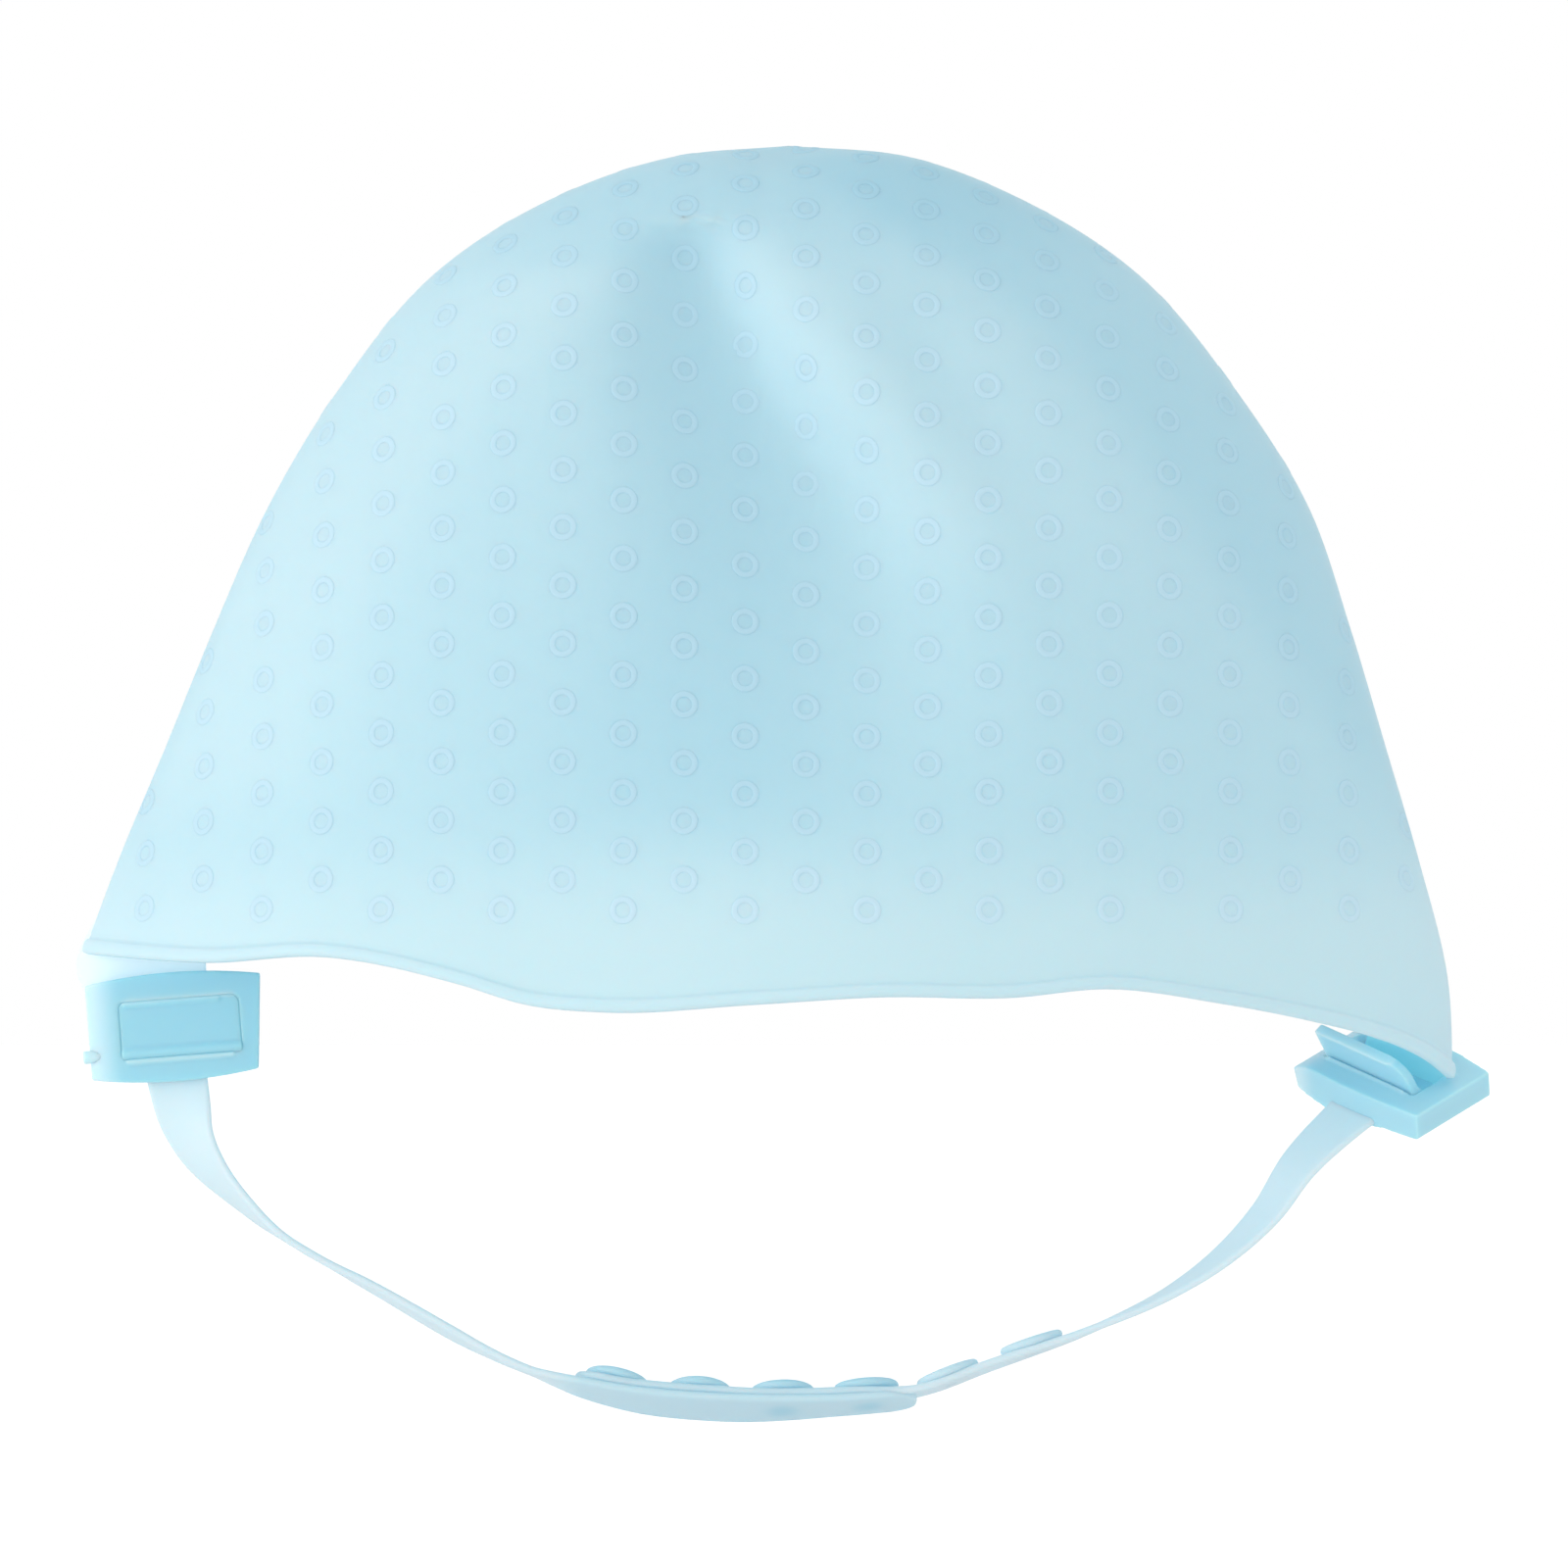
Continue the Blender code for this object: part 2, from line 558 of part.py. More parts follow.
def stud_places():
    """Middle, width and outward directions of each stud on the stud half of the strap."""
    path, tangent, width, normal = right_strap_line(900)
    places = []
    for k in range(STUD_COUNT):
        i = nearest(path, STUD_FIRST + STUD_PITCH * k)
        out = Vector(normal[i]) if normal[i][2] < 0 else -Vector(normal[i])
        places.append((Vector(path[i]), out))
    return places


def to_round_end(first, count, step):
    """Stations from first on: spaced out along the body, every one of them in the round end."""
    last = count - ROUND_STATIONS
    return np.concatenate([np.arange(first, last, step), np.arange(last, count)])


def build_straps(material):
    path, _, width, normal = left_strap_line()
    cut = nearest(path, SPLIT_AT)
    body = np.arange(0, cut - 1, COARSE_STEP)
    hole_strap = object_from(ribbon_mesh(path[body], width[body], normal[body]),
                             "hole_strap", material)
    picks = to_round_end(cut + 1, LINE_STATIONS, TAIL_STEP)
    tail = object_from(ribbon_mesh(path[picks], width[picks], normal[picks], "last"),
                       "hole_strap_tail", material)
    path, _, width, normal = right_strap_line()
    picks = to_round_end(0, STUD_LINE_STATIONS, COARSE_STEP)
    stud_strap = object_from(ribbon_mesh(path[picks], width[picks], normal[picks], "last"),
                             "stud_strap", material)
    for number, (middle, out) in enumerate(stud_places(), start=1):
        through = out * (2 * STRAP_THICK)
        hole = object_from(cylinder_mesh(STUD_NECK + GAP, middle - through, middle + through,
                                         HOLE_SIDES), f"stud_hole_{number}_cut", material)
        combine(stud_strap, hole, "DIFFERENCE")
        inner_face = STRAP_THICK / 2 + GAP
        if middle.x < LEFT_PATH[-1][0] - STUD_HEAD:
            socket = cylinder_mesh(STUD_HEAD + SOCKET_ROOM, middle,
                                   middle + out * (inner_face + SOCKET_DEPTH), SOCKET_SIDES)
            combine(tail, object_from(socket, f"socket_{number}_cut", material), "DIFFERENCE")
    return hole_strap, tail, stud_strap


def build_studs(material):
    """Snap studs: a disc on the inner face, a neck through the strap and a low head outside."""
    face = STRAP_THICK / 2
    disc_top = -(face + GAP + STUD_DISC_THICK)
    profile = ((0.0, disc_top), (STUD_DISC - 0.5, disc_top), (STUD_DISC, disc_top + 0.5),
               (STUD_DISC, -face - GAP), (STUD_NECK, -face - GAP), (STUD_NECK, face + GAP),
               (STUD_HEAD, face + GAP + 0.05), (STUD_HEAD, face + GAP + 0.5),
               (STUD_HEAD - 0.4, face + GAP + 0.75), (0.0, face + GAP + 0.75))
    studs = []
    for number, (middle, out) in enumerate(stud_places(), start=1):
        bm = bmesh.new()
        verts = [bm.verts.new((radius, 0.0, height)) for radius, height in profile]
        edges = [bm.edges.new(pair) for pair in zip(verts, verts[1:])]
        bmesh.ops.spin(bm, geom=verts + edges, cent=(0, 0, 0), axis=(0, 0, 1), angle=2 * math.pi,
                       steps=STUD_SIDES, use_merge=True)
        bmesh.ops.remove_doubles(bm, verts=bm.verts, dist=1e-4)
        bmesh.ops.rotate(bm, matrix=out.to_track_quat("Z", "Y").to_matrix(), verts=bm.verts)
        stud = object_from(bm, f"snap_stud_{number}", material)
        stud.location = middle * MM
        studs.append(stud)
    return studs


# ================================================================ assembly
def main():
    clear_scene()
    silicone = finish("cap_silicone", SILICONE, 0.55)
    strap_silicone = finish("strap_silicone", STRAP_SILICONE, 0.5)
    plastic = finish("clip_plastic", CLIP_PLASTIC, 0.4)
    build_cap(silicone)
    left, right = left_clip_place(), right_clip_place()
    left_frame = clip_frame("left_clip_frame", left, plastic)
    cut_throat(left_frame, plastic)
    clip_lever("left_clip_lever", left, 0.0, plastic)
    clip_pin("left_clip_pin", left, plastic)
    clip_frame("right_clip_frame", right, plastic)
    clip_lever("right_clip_lever", right, OPEN_ANGLE, plastic)
    clip_pin("right_clip_pin", right, plastic)
    build_straps(strap_silicone)
    build_studs(plastic)


main()
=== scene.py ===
"""Looks of the silicone highlighting cap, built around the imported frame.

Lengths in the constants are millimetres in the frame's own axes and become metres through MM,
unless a comment says that they are metres already.
"""

import json
import math
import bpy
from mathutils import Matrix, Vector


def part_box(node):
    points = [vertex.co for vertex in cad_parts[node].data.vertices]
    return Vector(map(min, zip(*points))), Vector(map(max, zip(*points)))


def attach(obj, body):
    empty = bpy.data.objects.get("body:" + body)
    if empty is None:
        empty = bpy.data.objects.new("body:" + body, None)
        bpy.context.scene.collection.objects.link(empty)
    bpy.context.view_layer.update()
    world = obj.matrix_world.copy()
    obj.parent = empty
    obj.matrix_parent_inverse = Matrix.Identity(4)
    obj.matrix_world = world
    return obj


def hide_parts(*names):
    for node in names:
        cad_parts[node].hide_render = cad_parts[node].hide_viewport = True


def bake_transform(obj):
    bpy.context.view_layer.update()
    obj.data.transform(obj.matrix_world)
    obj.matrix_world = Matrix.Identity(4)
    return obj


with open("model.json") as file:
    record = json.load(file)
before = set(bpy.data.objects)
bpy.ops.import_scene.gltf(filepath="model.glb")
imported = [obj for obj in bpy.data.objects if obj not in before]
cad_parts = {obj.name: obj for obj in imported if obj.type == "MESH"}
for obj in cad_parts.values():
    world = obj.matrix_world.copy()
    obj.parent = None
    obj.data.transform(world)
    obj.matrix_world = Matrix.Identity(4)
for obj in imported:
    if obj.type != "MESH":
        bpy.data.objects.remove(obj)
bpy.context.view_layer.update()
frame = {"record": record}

from types import SimpleNamespace

import bmesh
import bpy
import numpy as np
from mathutils import Matrix, Vector

MM = 0.001
CAP_HIGH = np.array(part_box("cap_shell")[1]) / MM
JOINTS = {joint["name"]: joint for joint in frame["record"]["behaviour"]["joints"]}

# ---------------------------------------------------------------- dome
WALL = 1.1                      # thickness of the silicone
RIM_TO_CROWN = 185.0            # length of the skin from the rim up to the crown
CROWN = np.array([0.9, 0.0, CAP_HIGH[2]])
LEFT_OUTLINE = ((-128.6, 86.4), (-122.4, 103.0), (-113.4, 124.6), (-104.6, 146.2), (-95.0, 167.8),
                (-82.1, 189.4), (-64.3, 211.0), (-41.9, 225.2), (-21.1, 232.4), (0.9, CAP_HIGH[2]))
RIGHT_OUTLINE = ((122.7, 63.4), (121.8, 81.4), (116.6, 103.0), (110.3, 124.6), (103.9, 146.2),
                 (96.5, 167.8), (83.2, 189.4), (65.0, 211.0), (42.7, 225.2), (23.6, 232.4),
                 (0.9, CAP_HIGH[2]))
FRONT_OUTLINE = ((56.0, 78.0), (53.0, 92.0), (51.6, 108.0), (49.0, 132.0), (44.5, 160.0),
                 (37.0, 188.0), (26.0, 211.0), (13.0, 228.0), (0.0, CAP_HIGH[2]))
FRONT_RIM = ((-128.6, 86.4), (-119.0, 85.6), (-106.0, 85.0), (-84.0, 86.2), (-59.0, 81.4),
             (-47.0, 77.8), (-32.0, 76.4), (-6.0, 77.8), (18.0, 79.2), (41.0, 79.0),
             (59.0, 80.5), (79.0, 77.8), (97.0, 74.2), (107.0, 71.6), (114.3, 68.9),
             (118.6, 66.6), (122.7, 63.4))
BACK_RIM = ((-128.6, 86.4), (-106.0, 89.0), (-60.0, 90.0), (0.0, 88.0), (60.0, 90.0),
            (95.0, 90.0), (112.0, 80.0), (122.7, 63.4))
RIGHT_END_FORWARD = 4.4         # how far the right corner comes to the front
PINCH = 0.5                     # how sharply the flat cap is creased at its two ends
BEAD_HEIGHT = 2.4
BEAD_PROUD = 0.6
BEAD_ROWS = 9
BEAD_CREASE = 0.08              # depth of the crease just above the bead
AROUND = 256                    # stations round the dome
UP = 96                         # rows from the bead up to the crown
WALL_RISE = (0.03, 0.992)       # rise of the lowest and the highest of those rows
SLOPE_STEP = 1e-3               # step in angle and rise for finding slopes of the skin

# Folds of the slack front wall: (height, sideways place) of each fold's line from top to bottom,
# widths on its left and on its right at top and bottom, and how deep it goes.
FOLDS = (
    (((220.0, -17.0), (208.0, -14.0), (193.0, -8.0), (169.0, 6.0), (150.0, 13.0), (130.0, 15.0),
      (98.0, 12.0)), (9.0, 60.0), (8.0, 32.0), 13.0),
    (((207.0, 20.0), (188.0, 32.0), (168.0, 44.0), (135.0, 58.0), (108.0, 66.0)),
     (9.0, 18.0), (8.0, 18.0), 2.0),
)

# Painted light and shade on the front wall: the shaded slope of the big fold (above 0), and the
# lit ridges beside the folds and the lit left side (below 0). Each is (height, sideways place) of
# a line, half width at the top and at the bottom of it, and how much depth it adds.
PAINTED_LIGHT_AND_SHADE = (
    (((222.0, -19.0), (208.0, -20.0), (193.0, -18.0), (169.0, -12.0), (150.0, -11.0),
      (130.0, -13.0), (98.0, -14.0)), (8.0, 34.0), 0.17),
    (((224.0, -14.0), (211.0, -3.0), (193.0, 11.0), (175.0, 24.0), (145.0, 40.0)),
     (8.0, 14.0), -0.09),
    (((205.0, 30.0), (184.0, 43.0), (163.0, 57.0), (140.0, 68.0)), (9.0, 14.0), -0.05),
    (((215.0, -38.0), (200.0, -54.0), (175.0, -76.0), (150.0, -92.0), (100.0, -110.0)),
     (14.0, 24.0), -0.14),
)
# Line over the dome's right shoulder; the wall on its right gets painted shade.
SHOULDER = ((232.0, -4.0), (220.0, 12.0), (205.0, 36.0), (178.0, 60.0), (151.0, 78.0),
            (127.0, 95.0), (100.0, 112.0))

# Colour depth of the dome: above a height, over a distance, it deepens by an amount. This is
# painted
# light and shade: the band along the rim is left pale as painted light from the backdrop seen
# through one wall, and the crown gets painted shade.
RIM_DEPTH = 0.02
SHADE_ABOVE = ((88.0, 26.0, 0.23), (205.0, 26.0, 0.2))
SHOULDER_SHADE = 0.17           # painted shade, deeper on the right of the SHOULDER line, turned away from the key light

# ---------------------------------------------------------------- rings on the dome
RING_COLUMN_PITCH = 11.0
RING_ROW_PITCH = 10.75
RING_COLUMNS = (-117.0, 117.0)  # first and last column
RING_LOWEST = 94.6
RING_HIGHEST_RISE = 0.988
RING_LINE_STATIONS = 1200
RING_RADIUS = 1.95
RING_HALF_WIDTH = 0.55
RING_HEIGHT = 0.09
RING_SUNK = 0.25
RING_SIDES = 20
RING_PALER = 0.03               # rings are this much paler than the wall under them
RING_CROWN_DEPTH = 0.1          # and this much deeper over the crown

# ---------------------------------------------------------------- straps
STRAP_WIDTH = 11.2
STRAP_THICK = 1.4
CLOSURE_TILT = 67.0
CLIP_SHARE = 0.04
LEFT_PATH = ((-112.8, 0.95, 74.5), (-111.4, 0.95, 62.8), (-108.6, 0.5, 52.0), (-97.4, 0.0, 38.6),
             (-73.6, 0.0, 23.8), (-46.0, 0.0, 9.4), (-28.8, 0.0, 4.6), (-10.8, 0.0, 2.84),
             (9.0, 0.0, 3.2), (24.4, 0.0, 4.4))
LEFT_TWIST = ((0.0, 0.0), (0.06, 6.0), (0.1, 22.0), (0.13, 41.0), (0.165, 56.0), (0.2, 69.0),
              (0.24, 79.0), (0.29, 87.0), (0.33, 87.0), (0.38, 83.0), (0.478, 80.0),
              (0.544, 84.0), (0.578, 85.0), (0.61, 79.0), (0.636, 73.0), (0.67, 69.0),
              (0.72, 65.0), (0.8, 64.0), (0.86, CLOSURE_TILT), (0.92, 71.0), (1.0, 72.0))
RIGHT_PATH = ((38.0, 0.9, 10.6), (56.5, 0.6, 17.2), (71.6, 0.0, 24.4), (80.4, -0.8, 30.6),
              (88.4, -1.6, 38.6), (94.4, -2.6, 47.4))
RIGHT_TWIST = ((0.0, 134.0), (0.08, 130.0), (0.16, 122.0), (0.23, 112.0), (0.29, 103.0),
               (0.35, 95.0), (0.39, 91.0), (0.44, 87.0), (0.5, 84.0), (0.56, 82.0), (0.62, 82.0),
               (0.665, 79.0), (0.7, 74.0), (0.75, 71.0), (0.815, CLOSURE_TILT), (0.855, 64.0),
               (0.905, 65.0), (0.947, 69.0), (1.0, 73.0))
STUD_STRAP_END = -38.7
TUNNEL_MIDDLE = 0.925           # how far behind the clip's middle plane the strap ends inside it
EXIT_BACK = 2.6                 # and how far behind it the right strap leaves the clip
CLOSURE_GAP = 0.1
DOUBLED = (-44.0, 16.0)         # the two straps lie on each other between these places
DOUBLED_EASE = 8.0
STRAP_DEPTH = 0.04              # colour depth of a single strap
HOLED_DOUBLED_DEPTH = 0.28      # added to the holed strap where it lies on the other one
STUDDED_DOUBLED_DEPTH = 0.24    # added to the studded strap there
SPOT_DEPTH = 0.45               # added where a stud's head shows through
SPOT_RADIUS = 3.4
SPOTTED_STUDS = slice(2, 4)     # only these studs show through the holed strap

# ---------------------------------------------------------------- studs
STUD_FIRST = -31.0
STUD_PITCH = 15.4
STUD_COUNT = 6
STUD_DISC = 6.0
STUD_DISC_THICK = 1.5
STUD_EDGE = 0.75                # radius of the disc's rounded edge
STUD_NECK = 1.4
STUD_FILLET = 0.3
STUD_SIDES = 48
STUDS_COVERED = 4               # studs that the holed strap lies over
STUD_DEPTHS = (0.6, 0.25)       # colour depth of those studs, and of the others

# ---------------------------------------------------------------- clips
# A clip's own axes: u along its hinge, v to the back, h up; its round end is at the lowest u.
CLIP_WIDTH = 31.5
CLIP_HEIGHT = 20.0
CLIP_FRONT = -3.0
CLIP_FRONT_BOW = 0.4            # the front face falls back by this much at its ends
CLIP_BACK = 2.8
CLIP_BACK_SWELL = 1.3
CLIP_BULGE = 1.3                # the upper and lower sides bow out by this much in the middle
CLIP_END_ROUND = 6.0
CLIP_END_DROP = 1.7
WINDOW_FLOOR = -0.3             # v of the bottom of the lever's window
GROOVE_FLOOR = -1.2             # v of the bottom of the groove under the lever
HINGE = (-1.8, -4.4)            # v and h of the hinge
BARREL_RADIUS = 1.4
LEVER_HALF = 11.1
LEVER_TOP = 4.3
LEVER_THICK = 1.8
LEVER_SMALL_CORNER = 0.8
EDGE_WIDTH = 0.7                # width of the painted highlight along a lever's free edge
# Painted highlights: how much paler the lit edges of the levers, lips and windows are.
EDGE_HIGHLIGHT = 0.24
# Painted highlight over the clip's curved round end, which turns towards the light.
ROUND_END_HIGHLIGHT = 0.42
CLIP_VOXEL = 0.26
CLIP_SMOOTHING = 5
PIN_RADIUS = 0.6
PIN_SIDES = 32
KNOB_RADIUS = 1.2
KNOB_BACK = 1.0                 # the knob sits this far behind the hinge line

# corner: radius of the lever's round corner; opened: how far the lever stands open, in degrees;
# longer: how much further the lower side reaches down; gap: air around the lever, below 0 for a
# flush one; head: how far the pin's knob stands out; deep: colour depth; aside, higher: the
# lever's shift along u and h; slant: how much the square end leans out at its top.
LEFT_CLIP = SimpleNamespace(corner=1.6, opened=0.0, longer=0.0, gap=-0.04, head=1.2, deep=0.55,
                            aside=1.3, higher=0.9, slant=0.8)
# The right clip's deep is lower than the left's: painted light that offsets the shade falling on
# it.
RIGHT_CLIP = SimpleNamespace(corner=4.6, opened=112.0, longer=2.0, gap=0.3, head=0.0, deep=0.42,
                             aside=-1.0, higher=0.0, slant=0.0)

# ---------------------------------------------------------------- ears
# Edges of the left ear: (height, sideways place) from top to bottom.
LEFT_EAR_OUTER = ((96.0, -124.6), (92.0, -126.6), (88.0, -128.8), (84.6, -129.9), (81.0, -129.3),
                  (77.6, -127.2), (75.0, -124.4))
LEFT_EAR_INNER = ((96.0, -108.0), (88.0, -106.4), (84.0, -106.2), (75.0, -106.4))
LEFT_EAR_HEIGHTS = (93.0, 75.2)
LEFT_EAR_THICK = 1.2
LEFT_EAR_DEPTH = 0.03
RIGHT_EAR_ANGLES = (-0.5, -0.05)  # part of the rim that the tongue hangs from
RIGHT_EAR_RISE = 0.02
RIGHT_EAR_HALF = 10.5
RIGHT_EAR_THICK = 1.1
# The right tongue's deep colour is painted shade: it hangs in the shadow between the open lever
# and the cap's rim.
RIGHT_EAR_SHADE = 0.75
EAR_STATIONS = 40

# ---------------------------------------------------------------- studio, in metres
ROOM_LIGHT = 0.79
KEY_POWER = 10.5
FILL_POWER = 5.5
FLOOR_SIZE = 14.0
FLOOR_HEIGHT = -0.06
FLOOR_GLOW = 0.4                # only the camera sees it
VIEW_DISTANCE = 2.6
VIEW_WIDTH = 0.288              # width of the picture at the cap's middle plane
VIEW_HEIGHT = 0.11736
SENSOR_WIDTH = 36.0


# ================================================================ curves
def hermite(xs, ys, slopes, at):
    """Cubic pieces through (xs, ys) with the given slopes."""
    at = np.clip(at, xs.min(), xs.max())
    k = np.clip(np.searchsorted(xs, at) - 1, 0, len(xs) - 2)
    h = xs[k + 1] - xs[k]
    t = (at - xs[k]) / h
    return ((2 * t**3 - 3 * t**2 + 1) * ys[k] + (t**3 - 2 * t**2 + t) * h * slopes[k]
            + (3 * t**2 - 2 * t**3) * ys[k + 1] + (t**3 - t**2) * h * slopes[k + 1])


def smooth_line(points, at):
    """A smooth curve through a few points, read at values of their first number."""
    pts = np.asarray(points, float)
    pts = pts[np.argsort(pts[:, 0])]
    return hermite(pts[:, 0], pts[:, 1], np.gradient(pts[:, 1], pts[:, 0]), at)


def eased_line(points, at):
    """Like smooth_line, but it never swings past the values it is given."""
    pts = np.asarray(points, float)
    xs, ys = pts[:, 0], pts[:, 1]
    rise = np.diff(ys) / np.diff(xs)
    before, after = rise[:-1], rise[1:]
    both = np.where(before * after > 0, 2 * before * after / (before + after + 1e-12), 0.0)
    return hermite(xs, ys, np.concatenate([[0.0], both, [0.0]]), at)


def chords(points):
    """Length along a line of points, at each of them."""
    steps = np.linalg.norm(np.diff(points, axis=0), axis=1)
    return np.concatenate([[0.0], np.cumsum(steps)])


def smooth_path(points, count):
    """Evenly spread stations along a smooth path."""
    pts = np.asarray(points, float)
    length = chords(pts)
    stations = np.linspace(0, length[-1], count)
    return np.column_stack([smooth_line(np.column_stack([length, pts[:, i]]), stations)
                            for i in range(pts.shape[1])])


def ease(value):
    """0 below 0, 1 above 1 and a soft S between."""
    value = np.clip(value, 0.0, 1.0)
    return value * value * (3 - 2 * value)


# ================================================================ mesh helpers
def mesh_object(bm, name, material, sharp_degrees=None, recalc=True):
    """Turn a bmesh in millimetres into a shaded object in metres."""
    if recalc:
        bmesh.ops.recalc_face_normals(bm, faces=bm.faces)
    bmesh.ops.scale(bm, vec=(MM, MM, MM), verts=bm.verts)
    mesh = bpy.data.meshes.new(name)
    bm.to_mesh(mesh)
    bm.free()
    mesh.shade_smooth()
    if sharp_degrees:
        mesh.set_sharp_from_angle(angle=math.radians(sharp_degrees))
    mesh.materials.append(material)
    obj = bpy.data.objects.new(name, mesh)
    bpy.context.scene.collection.objects.link(obj)
    return obj


def grid_faces(bm, rows, closed):
    """Quads between rows of vertices."""
    for a, b in zip(rows, rows[1:]):
        span = len(a) if closed else len(a) - 1
        for i in range(span):
            k = (i + 1) % len(a)
            bm.faces.new((a[i], a[k], b[k], b[i]))


def lathe(profile, sides, place):
    """Turn a profile of (radius, height), whose two ends lie on the axis, into a closed mesh."""
    bm = bmesh.new()
    rows = [[bm.verts.new(place(radius * math.cos(t), radius * math.sin(t), height))
             for t in np.arange(sides) * 2 * math.pi / sides]
            for radius, height in profile[1:-1]]
    grid_faces(bm, rows, closed=True)
    for row, (_, height) in ((rows[0], profile[0]), (rows[-1], profile[-1])):
        tip = bm.verts.new(place(0.0, 0.0, height))
        for i in range(sides):
            bm.faces.new((row[i], row[(i + 1) % sides], tip))
    return bm


def paint(obj, values):
    """Store how deep the colour is at each vertex (0 palest, 1 deepest)."""
    layer = obj.data.attributes.new("depth", "FLOAT", "POINT")
    layer.data.foreach_set("value", np.clip(np.asarray(values, np.float32), 0.0, 1.0))


def paint_evenly(obj, value):
    paint(obj, np.full(len(obj.data.vertices), value))


def vertex_places(obj):
    """The object's vertices in millimetres."""
    flat = np.empty(len(obj.data.vertices) * 3, np.float32)
    obj.data.vertices.foreach_get("co", flat)
    return flat.reshape(-1, 3) / MM


def apply_modifiers(obj):
    """Bake the object's modifiers into its mesh."""
    depsgraph = bpy.context.evaluated_depsgraph_get()
    baked = bpy.data.meshes.new_from_object(obj.evaluated_get(depsgraph))
    obj.modifiers.clear()
    obj.data = baked


# ================================================================ dome
def line_span(line, z):
    """Top and low end of a line over the wall, and how far down it (0 to 1) each height is."""
    heights = [point[0] for point in line]
    top, low = max(heights), min(heights)
    return top, low, np.clip((top - z) / (top - low), 0.0, 1.0)


def fold_depth(x, z):
    """How far the slack front wall is pushed in at a place."""
    depth = np.zeros_like(x)
    for line, left_widths, right_widths, deepest in FOLDS:
        down = line_span(line, z)[2]
        aside = x - smooth_line(line, z)
        near = np.where(aside < 0, left_widths[0], right_widths[0])
        far = np.where(aside < 0, left_widths[1], right_widths[1])
        width = near + (far - near) * down
        along = np.clip(np.sin(np.pi * down**0.6), 0, 1)**1.1
        depth += deepest * along * np.exp(-(aside / width)**2)
    return depth


def outline_at(points, rise):
    """The two coordinates of an outline at shares of its length from the rim."""
    pts = np.asarray(points, float)
    length = chords(pts)
    length /= length[-1]
    return [smooth_line(np.column_stack([length, pts[:, i]]), rise) for i in (0, 1)]


def dome(angle, rise):
    """The dome's outer skin; angle goes round from +X, rise from the rim (0) to the crown (1)."""
    c, s = np.cos(angle), np.sin(angle)
    right, left = outline_at(RIGHT_OUTLINE, rise), outline_at(LEFT_OUTLINE, rise)
    side_x = np.where(c >= 0, right[0], left[0])
    side_z = np.where(c >= 0, right[1], left[1])
    depth, mid_z = outline_at(FRONT_OUTLINE, rise)
    sharp = 1.0 + PINCH * (1.0 - rise)**1.5
    x = CROWN[0] + (side_x - CROWN[0]) * np.abs(c)
    y = depth * np.sign(s) * np.abs(s)**sharp
    y -= RIGHT_END_FORWARD * np.clip(c, 0, 1)**2 * (1.0 - rise)**2
    z = side_z * c**2 + mid_z * s**2
    end_x = np.where(c >= 0, RIGHT_OUTLINE[0][0], LEFT_OUTLINE[0][0])
    rim_x = CROWN[0] + (end_x - CROWN[0]) * np.abs(c)
    rim_z = np.where(s <= 0, smooth_line(FRONT_RIM, rim_x), smooth_line(BACK_RIM, rim_x))
    end_z = np.where(c >= 0, RIGHT_OUTLINE[0][1], LEFT_OUTLINE[0][1])
    z = z + (rim_z - end_z * c**2 - FRONT_OUTLINE[0][1] * s**2) * (1.0 - rise)**3
    y = y + np.where(s < 0, np.abs(s)**0.8, 0.0) * fold_depth(x, z)
    return np.stack([x, y, z], axis=-1)


def dome_normal(angle, rise):
    """Outward direction of the skin."""
    step = SLOPE_STEP
    around = dome(angle + step, rise) - dome(angle - step, rise)
    up = dome(angle, np.minimum(rise + step, 0.9995)) - dome(angle, np.maximum(rise - step, 0.0))
    normal = np.cross(around, up)
    return normal / np.linalg.norm(normal, axis=-1, keepdims=True)


def dome_depth_and_shade(places):
    """Dome colour depth, mostly painted light and shade: pale rim, deep crown, shaded folds and
    shoulder.
    """
    x, y, z = np.asarray(places, float).T
    base = RIM_DEPTH
    for start, reach, amount in SHADE_ABOVE:
        base = base + amount * ease((z - start) / reach)
    beside = ease((x - smooth_line(SHOULDER, z) + 3.0) / 16.0)
    tone = SHOULDER_SHADE * beside * ease((z - 90.0) / 40.0)
    for line, (narrow, wide), strength in PAINTED_LIGHT_AND_SHADE:
        top, low, down = line_span(line, z)
        across = (x - smooth_line(line, z)) / (narrow + (wide - narrow) * down)
        along = ease((top - z) / 8.0) * ease((z - low) / 24.0)
        tone += strength * along * np.exp(-np.abs(across)**2.6)
    return base + tone * ease(-y / 8.0)


